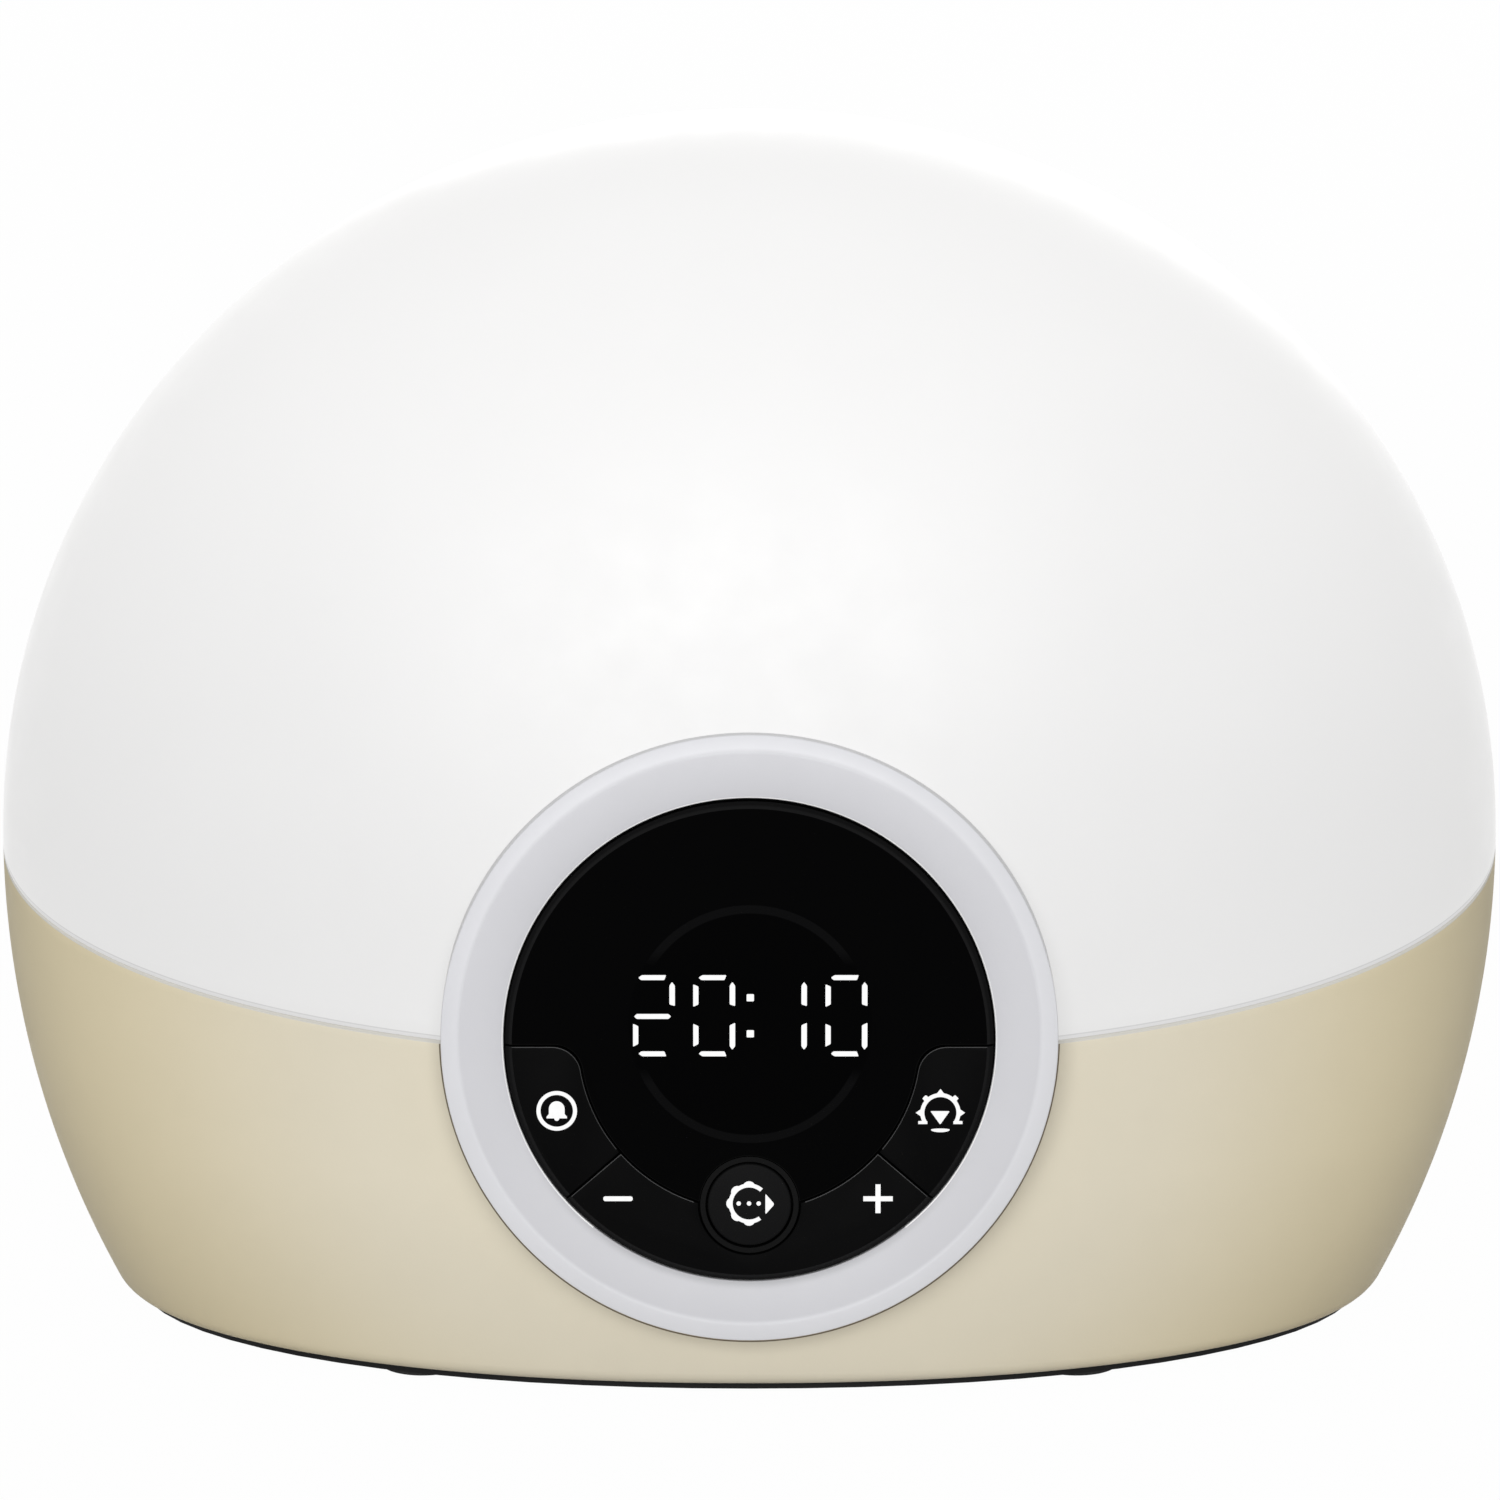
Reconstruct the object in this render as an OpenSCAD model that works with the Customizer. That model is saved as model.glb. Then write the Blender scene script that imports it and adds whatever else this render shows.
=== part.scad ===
// Bedside sunrise alarm clock: an opal dome over a beige base that meet on a sloping seam,
// with a round control panel let into the front. All lengths are millimetres, angles degrees.
// The front looks along -Y, +Z is up, and the origin lies on the table under the middle.

/* [Body] */
// Width at the widest level
body_w = 215; // [195:1:240]
// Depth of dome and base, without the control panel
body_d = 118; // [108:1:135]
// Height of the widest level above the table
equator_z = 66.9; // [62:0.1:72]
// Height of the dome above the widest level
dome_h = 105.5; // [92:0.5:120]
// How far each side of the base draws in down to its lower edge
side_taper = 16.3; // [8:0.1:24]
// How far the front and back of the base draw in down to the lower edge
front_taper = 2.3; // [1.2:0.1:6]
// Fullness of the dome outline, where 2 is an ellipse
dome_full = 2.03; // [1.95:0.01:2.3]
// Fullness of the plan outline, where 2 is an ellipse
plan_full = 2.1; // [2:0.05:2.5]

/* [Shells and seam] */
// Wall of the diffuser dome
dome_wall = 2.2; // [1.8:0.1:2.8]
// Wall of the base shell
base_wall = 2.4; // [2:0.1:3]
// Height of the seam plane over the middle of the body
seam_z = 67.9; // [64:0.1:71]
// Slope of the seam plane, low at the front
seam_tilt = 17; // [12:0.5:19]
// Shadow gap that shows along the seam
seam_gap = 0.4; // [0.2:0.1:0.8]
// Depth of the dome's tongue below the seam
tongue_h = 3; // [2:0.1:4]
// Thickness of the base's outer lip beside the tongue
lip_t = 1.1; // [0.8:0.1:1.3]
// Round on the lower edge of the base
foot_round = 2; // [0.5:0.1:2.2]

/* [Bottom plate and feet] */
// Thickness of the bottom plate
plate_t = 2.4; // [2:0.1:3.5]
// Height of the plate's edge that shows under the base
plate_show = 1.1; // [0.5:0.1:1.6]
// Diameter of a rubber foot
foot_d = 12; // [8:0.5:14]
// How far the feet stand below the plate
foot_proud = 1; // [0.6:0.1:3]
// Distance of the feet from the middle plane, left and right
foot_x = 46; // [42:0.5:54]
// Distance of the feet from the middle, front and back
foot_y = 39; // [36:0.5:42]
// Distance of the bottom screws from the middle plane, left and right
boss_x = 64; // [60:0.5:70]
// Distance of the bottom screws from the middle, front and back
boss_y = 26; // [20:0.5:30]

/* [Control panel] */
// Height of the panel's centre above the table
panel_z = 53.2; // [52:0.1:56]
// Backward lean of the panel
panel_tilt = 3.5; // [0:0.5:6]
// How far the ring face stands ahead of the body at its centre
panel_proud = 2.6; // [2:0.1:4.5]
// Width of the ring's flat face around the disc
ring_face_w = 6.5; // [5.8:0.05:8]
// Width of the ring's sloping shoulder
shoulder_w = 2.4; // [1.5:0.1:3.5]
// Drop of the shoulder at its outer edge
shoulder_drop = 0.8; // [0.7:0.1:2]
// Diameter of the black disc formed by window and keys
disc_d = 66.8; // [65.4:0.1:67.4]
// How far the disc stands ahead of the ring face
disc_proud = 1.5; // [1:0.1:2]
// Width of the bevel on the disc's front edge
disc_bevel = 0.9; // [0.4:0.1:0.9]
// Depth of the ring's skirt behind its face
skirt_depth = 14; // [13.4:0.1:16]

/* [Keys] */
// Width of the key band between the disc's edge and the arc above it
band_w = 10.15; // [9.4:0.05:10.8]
// Height of that arc's centre above the disc's centre
arc_v = -0.1; // [-0.6:0.1:0.4]
// Height of the outer keys' upper edge
key_top_v = -0.4; // [-1.1:0.1:0.4]
// Round on the outer keys' upper inner corner
key_round = 4; // [2:0.1:4.5]
// Angle of the split between outer key and rocker, below horizontal
split_a = 41; // [39:0.5:43]
// Height of the round key's centre above the arc's lowest point
centre_lift = 0.7; // [0.5:0.1:1]
// Diameter of the round key
centre_d = 11.5; // [10.5:0.1:11.8]
// Outer diameter of the collar around the round key
collar_d = 13.5; // [13.2:0.1:14]
// Free gap between neighbouring keys
key_gap = 0.3; // [0.25:0.01:0.4]
// Travel of a push key
key_travel = 0.4; // [0.2:0.05:0.5]
// Thickness of the key caps
cap_t = 2; // [1.6:0.1:2.1]

/* [Circuit boards] */
// Thickness of the circuit boards
board_t = 1.6; // [1:0.1:2]
// Width of the main board
main_w = 80; // [76:1:84]
// Depth of the main board
main_d = 58; // [56:1:60]
// Width of the LED board
led_w = 64; // [56:1:72]
// Depth of the LED board
led_d = 36; // [32:1:44]
// Number of fins on the heat sink
fin_count = 9; // [5:1:11]
// LEDs in each of the two rows
led_row = 6; // [4:1:7]

/* [Hidden] */
$fn = 64;

// Clearances that several fits share
fit = 0.3;         // between curved faces that never touch
slip = 0.1;        // between parts of one body that slide together on assembly
run = 0.06;        // radial play of a guide pin or plunger in its bore
seg = 72;          // facets round the lofted shells
dome_rings = 17;   // rings of each dome surface
base_rings = 9;    // rings of each base surface

// Body outline
half_width = body_w / 2;
half_depth = body_d / 2;
plate_z = foot_proud;
rim_z = plate_z + plate_show;
plate_top = plate_z + plate_t;
low_w = (equator_z - rim_z) / sqrt(1 - pow(1 - side_taper / half_width, 2));
low_d = (equator_z - rim_z) / sqrt(1 - pow(1 - front_taper / half_depth, 2));

function above(z, s) = let (rise = min(1, (z - equator_z) / (dome_h - s)))
    pow(1 - pow(rise, dome_full), 1 / dome_full);
function below(z, low) = sqrt(1 - pow((equator_z - z) / low, 2));
// Half width and half depth of the section at height z, drawn in by s
function wide(z, s) = (half_width - s) * (z >= equator_z ? above(z, s) : below(z, low_w));
function deep(z, s) = (half_depth - s) * (z >= equator_z ? above(z, s) : below(z, low_d));
// Unit plan outline at the angle t
function plan_r(t) =
    pow(pow(abs(cos(t)), plan_full) + pow(abs(sin(t)), plan_full), -1 / plan_full);
function plan_x(t) = plan_r(t) * cos(t);
function plan_y(t) = plan_r(t) * sin(t);
function skin(t, z, s) = [wide(z, s) * plan_x(t), deep(z, s) * plan_y(t), z];
// Height at which the skin drawn in by s meets the seam plane lowered by drop
function seam_at(t, s, drop, z = seam_z, left = 12) = left == 0 ? z
    : seam_at(t, s, drop, seam_z - drop + tan(seam_tilt) * deep(z, s) * plan_y(t), left - 1);
// Latitude of a height on the skin, and the height of a latitude
function latitude(z, s) = z >= equator_z ? asin((z - equator_z) / (dome_h - s))
    : -asin((equator_z - z) / low_w);
function level(lat, s) = equator_z + (lat >= 0 ? dome_h - s : low_w) * sin(lat);
function mix(a, b, f) = a + (b - a) * f;
// One ring of the skin on the seam plane lowered by drop
function seam_ring(s, drop) = [for (i = [0:seg - 1]) let (t = 360 * i / seg)
    skin(t, seam_at(t, s, drop), s)];
// One ring of the skin, the share f of the way from the lowered seam up to the top
function dome_ring(s, drop, f) = [for (i = [0:seg - 1]) let (t = 360 * i / seg,
    lat = mix(latitude(seam_at(t, s, drop), s), 90, f)) skin(t, level(lat, s), s)];
// One ring of the skin, the share f of the way from the lowered seam down to z_low
function base_ring(s, drop, z_low, f) = [for (i = [0:seg - 1]) let (t = 360 * i / seg)
    skin(t, mix(seam_at(t, s, drop), z_low, f), s)];
// Outward direction of the plan at t, and the lean of the wall over the height h below z
function skin_turn(t) = atan2(sign(sin(t)) * pow(abs(plan_y(t)), plan_full - 1) / half_depth,
    sign(cos(t)) * pow(abs(plan_x(t)), plan_full - 1) / half_width);
function skin_lean(t, z, s, h) = let (d = skin(t, z, s) - skin(t, z - h, s), n = skin_turn(t))
    atan((d[0] * cos(n) + d[1] * sin(n)) / h);

// Control panel. Its frame has its origin at the centre of the ring face, x to the right,
// y up along the panel and z out towards the user, so depths behind the face are negative.
disc_r = disc_d / 2;
ring_r = disc_r + ring_face_w + shoulder_w;
arc_r = disc_r - band_w;
centre_drop = arc_r - arc_v - centre_lift;
panel_reach = deep(panel_z, 0) + panel_proud;
ring_face_t = 2;
edge_bevel = 0.6;
skirt_t = 1.8;
boss_ring_r = ring_r - skirt_t - fit - 2.8;
board_bosses = [45, 135, 225, 315];
bezel_bosses = [200, 250, 290, 340];
boss_r = 2.6;
bore_r = disc_r + fit;
window_t = disc_proud + 0.7;
carrier_z = -ring_face_t;
carrier_t = 1.6;
carrier_r = ring_r - skirt_t - fit;
board_z = -9;
board_r = carrier_r - 0.6;
cover_t = 1.5;
lug_t = 2;
socket_t = 1.8;
switch_s = 6;
switch_h = 3.5;
plunger_r = 1.7;
plunger_foot = 1.9;
switch_well = plunger_foot - key_travel - 0.2;
plunger_top = board_z + switch_h + 0.6;
stem_r = 2;
pin_r = 1;
key_mid_r = disc_r - 5.35;
alarm_a = 202;
minus_a = 231;
guide_a = [13, -14];
guide_out = 0.6;
guide_boss_h = 0.8;
guide_wall = 1.4;
centre_pin_at = 3.9;
centre_pin_r = 0.8;
carrier_legs = [29.5, 90, 150.5];
carrier_leg_at = disc_r - 0.5;
carrier_leg_r = 2.4;
controller_s = 12;
controller_h = 1.6;
lug_half = 1.6;
pivot_r = 0.8;
pivot_z = carrier_z - 1.5;
pivot_cheek = 2;
pivot_lug_low = -disc_r + 0.5;
pivot_lug_w = disc_r - 0.5 - centre_drop - collar_d / 2 - key_gap;
display_r = arc_r - 5.05;
display_v = 3;
halo_v = 2.6;
digit_v = 3.8;
digit_h = 11.7;
digit_w = 6;
stroke = 1.15;
cell_gap = 0.2;
digit_x = [-13.1, -4.8, 4.9, 13.3];
halo_r = arc_r - 7.25;
halo_break = 14.2;
cell_depth = 0.6;
colon_s = 1;
colon_v = 2.5;

// The body is set back so that the whole clock is centred over the origin
front_reach = panel_reach + (disc_r - disc_bevel) * sin(panel_tilt) + disc_proud * cos(panel_tilt);
body_y = (front_reach - half_depth) / 2;

// Point of the panel's middle plane: height v along the panel, depth d behind its face
function panel_point(v, d) = [-panel_reach + d * cos(panel_tilt) + v * sin(panel_tilt),
    panel_z + v * cos(panel_tilt) - d * sin(panel_tilt)];

// Screws: head radius and height, shank radius, and how far each bites
bottom_head_r = 2.9;
bottom_head_h = 1.2;
bottom_shank_r = 1.4;
bottom_screw_l = 16;
panel_head_r = 2;
panel_head_h = 1.5;
panel_shank_r = 1.05;
panel_bite = 3.9;
bezel_head_r = 2.4;
bezel_head_h = 1.6;
bezel_shank_r = 1.25;
bezel_bite = 6.5;
board_head_r = 2.2;
board_head_h = 1.4;
board_bite = 5.4;
tray_head_r = 2.6;
tray_head_h = 1.5;
tray_screw_l = 10;
small_shank_r = 1.05;
sink_head_r = 2;
sink_head_h = 1.4;
led_shank_r = 1;

// Inside of the base shell and the bottom plate
base_boss_r = 3.6;
base_boss_h = 24;
rib_t = 2;
rib_step = 6;
lug_l = 9;
lug_breaks = [225, 270, 315];
lug_break_w = 18;
foot_seat = 1;
vent_side = 3;
vent_pitch = 6;
vent_w = 2;
vent_l = 14;
vent_y = -38;

// Main board and its parts
board_pillar_h = 8.6;
main_z = plate_top + board_pillar_h;
main_y = 17;
main_top = main_z + board_t;
pillar_r = 3;
pillar_x = main_w / 2 - 6;
pillar_y = main_d / 2 - 6;
jack_w = 9;
jack_h = 11;
jack_bore_r = 2.8;
jack_nose_r = 4;
jack_z = main_top + 6.5;
jack_hole_r = jack_nose_r + fit;
jack_l = 14;
jack_bore_l = 9;
jack_pin_r = 1;
jack_gap = 0.9;
jack_back_y = deep(jack_z, base_wall) - jack_gap;
sounder_r = 12;
sounder_h = 6.5;
sounder_wall = 1.5;
sounder_rim_h = 2;
sound_hole_r = 1.2;
sound_ring_r = 5;
sounder_at = [-0.52 * half_width, -4];
capacitor_r = 4;
capacitor_h = 12;
capacitors_at = [[-24, 32], [-13, 32]];
choke_r = 6;
choke_h = 6;
choke_at = [22, 32];
driver_at = [-20, 8];
driver_size = [10, 6, 1.8];
ribbon_w = 16;
ribbon_t = 0.35;
ribbon_v = -27;
ribbon_out = 14;
ribbon_in = 12;
socket_h = 3;
socket_d = 4;
socket_end = 2;
slot_t = 0.8;
lead_x = led_w / 2 - 12;
lead_r = 0.8;
plug_w = 7;
plug_d = 5;
plug_h = 4;

// Reflector tray and LED board, in the seam's own frame: z is normal to the seam plane
tray_inset = 4.6;
tray_drop = 5;
tray_t = 1.6;
tray_wall = 1.3;
tray_wall_h = 2;
tray_post_r = 3.5;
tray_post_l = 18;
tray_posts = [[half_width - 21.5, 37 - half_depth], [half_width - 39.5, half_depth - 26]];
led_y = 8;
led_gap = 2;
led_rim = 7;
led_post_r = 2.6;
led_screw_in = 3;
led_pitch = 7.5;
led_row_y = 6;
led_size = [3.5, 2.8, 0.8];
led_z = -tray_drop - tray_t - led_gap;
sink_base = 2.5;
sink_step = 8;
fin_h = 9;
fin_t = 1.4;
snap_angles = [90, 22, 158, 216, 324];
snap_w = 8;
snap_l = 8;
snap_t = 1.1;
snap_gap = 0.7;
snap_bite = 0.4;
snap_root = 0.8;

module in_body() translate([0, body_y, 0]) children();
module on_panel() in_body() translate([0, -panel_reach, panel_z])
    rotate([90 - panel_tilt, 0, 0]) children();
module on_seam() in_body() translate([0, 0, seam_z])
    rotate([seam_tilt, 0, 0]) children();
module both_sides() { children(); mirror([1, 0, 0]) children(); }
module four(x, y) for (i = [-1, 1], j = [-1, 1]) translate([i * x, j * y, 0]) children();
module polar(r, a) translate([r * cos(a), r * sin(a), 0]) children();
module at_bosses(angles) for (a = angles) polar(boss_ring_r, a) children();
module at_stems(a) both_sides() polar(key_mid_r, a) children();
module at_tray_posts(z) on_seam() both_sides()
    for (p = tray_posts) translate([p[0], p[1], z]) children();

// Closed skin through rings of seg points, ordered down the outside and up the inside
module loft(rings, start, end) {
    n = len(rings);
    points = concat([start], [for (r = rings) each r], [end]);
    faces = concat(
        [for (j = [0:seg - 1]) [0, 1 + (j + 1) % seg, 1 + j]],
        [for (i = [0:n - 2], j = [0:seg - 1]) let (a = 1 + i * seg, k = (j + 1) % seg)
            [a + j, a + k, a + seg + k]],
        [for (i = [0:n - 2], j = [0:seg - 1]) let (a = 1 + i * seg, k = (j + 1) % seg)
            [a + j, a + seg + k, a + seg + j]],
        [for (j = [0:seg - 1]) [1 + (n - 1) * seg + j, 1 + (n - 1) * seg + (j + 1) % seg, 1 + n * seg]]);
    polyhedron(points, faces);
}

// The same for a tube of rings that closes on itself
module loft_loop(rings) {
    n = len(rings);
    points = [for (r = rings) each r];
    faces = [for (i = [0:n - 1], j = [0:seg - 1], h = [0, 1])
        let (a = i * seg, b = ((i + 1) % n) * seg, k = (j + 1) % seg)
        h == 0 ? [a + j, a + k, b + k] : [a + j, b + k, b + j]];
    polyhedron(points, faces);
}

// Body solid drawn in by s, below the seam plane lowered by drop
module core(s, drop) loft(
    concat([for (i = [0:4]) base_ring(s, drop, rim_z + 1.5, i / 4)], [base_ring(s, drop, rim_z, 1)]),
    [0, 0, seam_z - drop], [0, 0, rim_z]);

module panel_bore(extra, depth) on_panel() translate([0, 0, -depth])
    cylinder(r = ring_r + extra, h = depth + 20);

// Hook under the dome's rim that snaps into a pocket of the base wall
module at_snap(t) in_body() let (z = seam_at(t, 0, 0)) translate(skin(t, z, 0))
    rotate([0, 0, skin_turn(t)]) rotate([0, skin_lean(t, z, 0, snap_l), 0]) children();
module snap_hook(t) at_snap(t) rotate([90, 0, 0]) linear_extrude(snap_w, center = true)
    polygon([[-dome_wall + 0.4, 3], [-dome_wall + 0.4, -snap_root], [-base_wall - snap_gap, -snap_root],
             [-base_wall - snap_gap, -5.4], [-base_wall + snap_bite, -6], [-base_wall + snap_bite, -6.6],
             [-base_wall - snap_gap - 0.2, -snap_l], [-base_wall - snap_gap - snap_t, -snap_l],
             [-base_wall - snap_gap - snap_t, 3]]);
module snap_pocket(t) at_snap(t) translate([-base_wall - 1, -snap_w / 2 - fit, -7.8])
    cube([1 + snap_bite + fit, snap_w + 2 * fit, 2.7]);

module diffuser_dome() color([0.96, 0.96, 0.95]) difference() {
    union() {
        in_body() loft(concat(
            [for (i = [dome_rings - 1:-1:0]) dome_ring(0, -seam_gap / 2, i / dome_rings)],
            [seam_ring(lip_t + slip, -seam_gap / 2), seam_ring(lip_t + slip, tongue_h)],
            [for (i = [0:dome_rings - 1]) dome_ring(dome_wall, tongue_h, i / dome_rings)]),
            [0, 0, equator_z + dome_h], [0, 0, equator_z + dome_h - dome_wall]);
        for (t = snap_angles) snap_hook(t);
    }
    panel_bore(fit, 30);
}

// Pillars and ribs inside the base, clipped to the middle of its wall
module base_frame() intersection() {
    in_body() core(base_wall / 2, tongue_h + 2);
    union() {
        in_body() both_sides() for (j = [-1, 1]) translate([boss_x, j * boss_y, plate_top]) {
            cylinder(r = base_boss_r, h = base_boss_h);
            translate([0, -rib_t / 2, 0]) cube([half_width, rib_t, base_boss_h - rib_step]);
        }
        at_tray_posts(-tray_drop - tray_t - tray_post_l) {
            cylinder(r = tray_post_r, h = tray_post_l);
            translate([0, -rib_t / 2, 0]) cube([half_width, rib_t, tray_post_l - 2]);
        }
        on_panel() translate([0, 0, -skirt_depth - cover_t - lug_t]) difference() {
            cylinder(r = ring_r + fit + socket_t, h = skirt_depth + cover_t + lug_t);
            translate([0, 0, -1]) cylinder(r = ring_r - lug_l, h = skirt_depth + cover_t);
            for (a = lug_breaks) rotate(a) translate([ring_r - lug_l - 3, -lug_break_w / 2, -1])
                cube([lug_l + 3, lug_break_w, lug_t + 2]);
        }
    }
}

module base_shell() color([0.82, 0.79, 0.70]) difference() {
    union() {
        in_body() loft_loop(concat(
            [for (i = [0:base_rings]) base_ring(0, seam_gap / 2, rim_z + foot_round, i / base_rings)],
            [for (q = [60, 30, 0])
                base_ring(foot_round * (1 - sin(q)), 0, rim_z + foot_round * (1 - cos(q)), 1)],
            [for (i = [base_rings - 3:-1:0])
                base_ring(base_wall, tongue_h + slip, rim_z, i / (base_rings - 3))],
            [seam_ring(lip_t, tongue_h + slip), seam_ring(lip_t, seam_gap / 2)]));
        base_frame();
    }
    for (t = snap_angles) snap_pocket(t);
    panel_bore(fit, skirt_depth + cover_t);
    on_panel() at_bosses(bezel_bosses) translate([0, 0, -skirt_depth - cover_t - lug_t - 1])
        cylinder(r = bezel_shank_r + 0.35, h = cover_t + lug_t + 1);
    in_body() four(boss_x, boss_y) translate([0, 0, plate_top - 1])
        cylinder(r = bottom_shank_r + 0.05, h = base_boss_h - 3);
    at_tray_posts(-tray_drop - tray_t - tray_screw_l - 2)
        cylinder(r = small_shank_r + slip, h = tray_screw_l + 4);
    in_body() translate([0, half_depth + 4, jack_z]) rotate([90, 0, 0])
        cylinder(r = jack_hole_r, h = 12);
}

module plate_outline() polygon([for (i = [0:seg - 1])
    let (p = skin(360 * i / seg, rim_z, base_wall + fit)) [p[0], p[1]]]);

module bottom_plate() color([0.09, 0.09, 0.10]) in_body() difference() {
    union() {
        translate([0, 0, plate_z]) linear_extrude(plate_t) plate_outline();
        translate([0, main_y, plate_top - 0.5]) four(pillar_x, pillar_y)
            cylinder(r = pillar_r, h = board_pillar_h + 0.5);
        translate([sounder_at[0], sounder_at[1], plate_top - 0.5]) difference() {
            cylinder(r = sounder_r + sounder_wall, h = sounder_rim_h + 0.5);
            translate([0, 0, -1]) cylinder(r = sounder_r + slip, h = sounder_rim_h + 3);
        }
    }
    four(foot_x, foot_y) translate([0, 0, plate_z - 1])
        cylinder(r = foot_d / 2 + slip, h = 1 + foot_seat);
    four(boss_x, boss_y) translate([0, 0, plate_z - 1]) {
        cylinder(r = bottom_shank_r + fit, h = plate_t + 2);
        cylinder(r = bottom_head_r + fit, h = 1 + bottom_head_h);
    }
    translate([0, main_y, plate_top + 1]) four(pillar_x, pillar_y)
        cylinder(r = small_shank_r + slip, h = board_pillar_h);
    translate([sounder_at[0], sounder_at[1], plate_z - 1]) {
        cylinder(r = sound_hole_r, h = plate_t + 2);
        for (a = [0:60:300]) polar(sound_ring_r, a) cylinder(r = sound_hole_r, h = plate_t + 2);
    }
    for (i = [-vent_side:vent_side]) translate([i * vent_pitch - vent_w / 2, vent_y, plate_z - 1])
        cube([vent_w, vent_l, plate_t + 2]);
}

module rubber_feet() color([0.16, 0.16, 0.17]) in_body() four(foot_x, foot_y) {
    cylinder(r = foot_d / 2, h = plate_z + foot_seat / 2);
    translate([0, 0, plate_z + foot_seat / 2]) cylinder(r = foot_d / 2 - 0.6, h = foot_seat / 2 - slip);
}

// Pan-head screw with its head on z = 0 below and its shank along +z
module screw(head_r, head_h, shank_r, length) {
    difference() {
        cylinder(r = head_r, h = head_h);
        for (a = [0, 90]) rotate(a) translate([-head_r * 0.6, -0.3, -1])
            cube([head_r * 1.2, 0.6, 1 + head_h * 0.5]);
    }
    translate([0, 0, head_h]) cylinder(r = shank_r, h = length);
}

module bottom_screws() color([0.62, 0.63, 0.65]) in_body() four(boss_x, boss_y)
    translate([0, 0, plate_z]) screw(bottom_head_r, bottom_head_h, bottom_shank_r, bottom_screw_l);

module bezel_ring() color([0.86, 0.86, 0.88]) on_panel() {
    rotate_extrude($fn = 96) polygon([
        [bore_r, 0], [ring_r - shoulder_w, 0],
        [ring_r - edge_bevel, -shoulder_drop * (1 - edge_bevel / shoulder_w)],
        [ring_r, -shoulder_drop - edge_bevel], [ring_r, -skirt_depth],
        [ring_r - skirt_t, -skirt_depth], [ring_r - skirt_t, -ring_face_t], [bore_r, -ring_face_t]]);
    for (a = board_bosses) polar(boss_ring_r, a) ring_boss(board_z, panel_shank_r + slip);
    for (a = bezel_bosses) polar(boss_ring_r, a) ring_boss(-skirt_depth, bezel_shank_r + slip);
}

module ring_boss(end_z, pilot_r) translate([0, 0, end_z]) difference() {
    cylinder(r = boss_r, h = -end_z - ring_face_t + 0.5);
    translate([0, 0, -1]) cylinder(r = pilot_r, h = -end_z - ring_face_t - 1);
}

// Round black blank that the window and the keys are cut from
module disc_blank(t) rotate_extrude($fn = 96)
    polygon([[0, disc_proud - t], [disc_r, disc_proud - t], [disc_r, disc_proud - disc_bevel],
             [disc_r - disc_bevel, disc_proud], [0, disc_proud]]);

// Centre of the corner round between an outer key's upper edge and the arc, grown by g
function corner_v(g) = key_top_v - g - key_round;
function corner_u(g) = sqrt(pow(arc_r + g + key_round, 2) - pow(corner_v(g) - arc_v, 2));
module corner_fill(g, h) {
    u = corner_u(g);
    v = corner_v(g);
    k = (arc_r + g) / (arc_r + g + key_round);
    both_sides() difference() {
        linear_extrude(h) polygon([[-u, v], [-u, key_top_v - g + 0.5],
                                   [-u * k + 0.5, key_top_v - g + 0.5],
                                   [-u * k + 0.5, arc_v + (v - arc_v) * k],
                                   [-u * k, arc_v + (v - arc_v) * k]]);
        translate([-u, v, -1]) cylinder(r = key_round, h = h + 2);
    }
}

// Prism over the window's share of the disc, its edges moved out by g
module window_area(g, h) {
    translate([-disc_r - 1, key_top_v - g, 0]) cube([disc_d + 2, disc_d, h]);
    translate([0, arc_v, 0]) cylinder(r = arc_r + g, h = h);
    corner_fill(g, h);
}

module display_window() color([0.03, 0.03, 0.035]) on_panel() difference() {
    intersection() {
        disc_blank(window_t);
        translate([0, 0, -5]) window_area(-key_gap / 2, 10);
    }
    translate([0, -centre_drop, -5]) cylinder(r = collar_d / 2 + slip, h = 10);
}

// Cap of the key band between two angles, with its stems
module outer_key_cap() difference() {
    intersection() {
        disc_blank(cap_t);
        rotate(180) linear_extrude(20, center = true)
            polygon([[0, -disc_r], [0, 0], [2 * disc_r * cos(split_a), 2 * disc_r * sin(split_a)],
                     [2 * disc_r, -disc_r]]);
    }
    translate([0, 0, -5]) window_area(key_gap / 2, 10);
    rotate(180 + split_a) translate([0, -key_gap / 2, -5]) cube([disc_d, 5, 10]);
}
module stem(r, end_z) translate([0, 0, end_z]) cylinder(r = r, h = disc_proud - cap_t + 0.5 - end_z);
module outer_key() {
    outer_key_cap();
    polar(key_mid_r, alarm_a) stem(stem_r, plunger_top);
    for (a = guide_a) polar(key_mid_r + guide_out, alarm_a + a)
        stem(pin_r, carrier_z - carrier_t - 0.4);
}

module alarm_key() color([0.06, 0.06, 0.065]) on_panel() outer_key();
module sunset_key() color([0.06, 0.06, 0.065]) on_panel() mirror([1, 0, 0]) outer_key();

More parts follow.
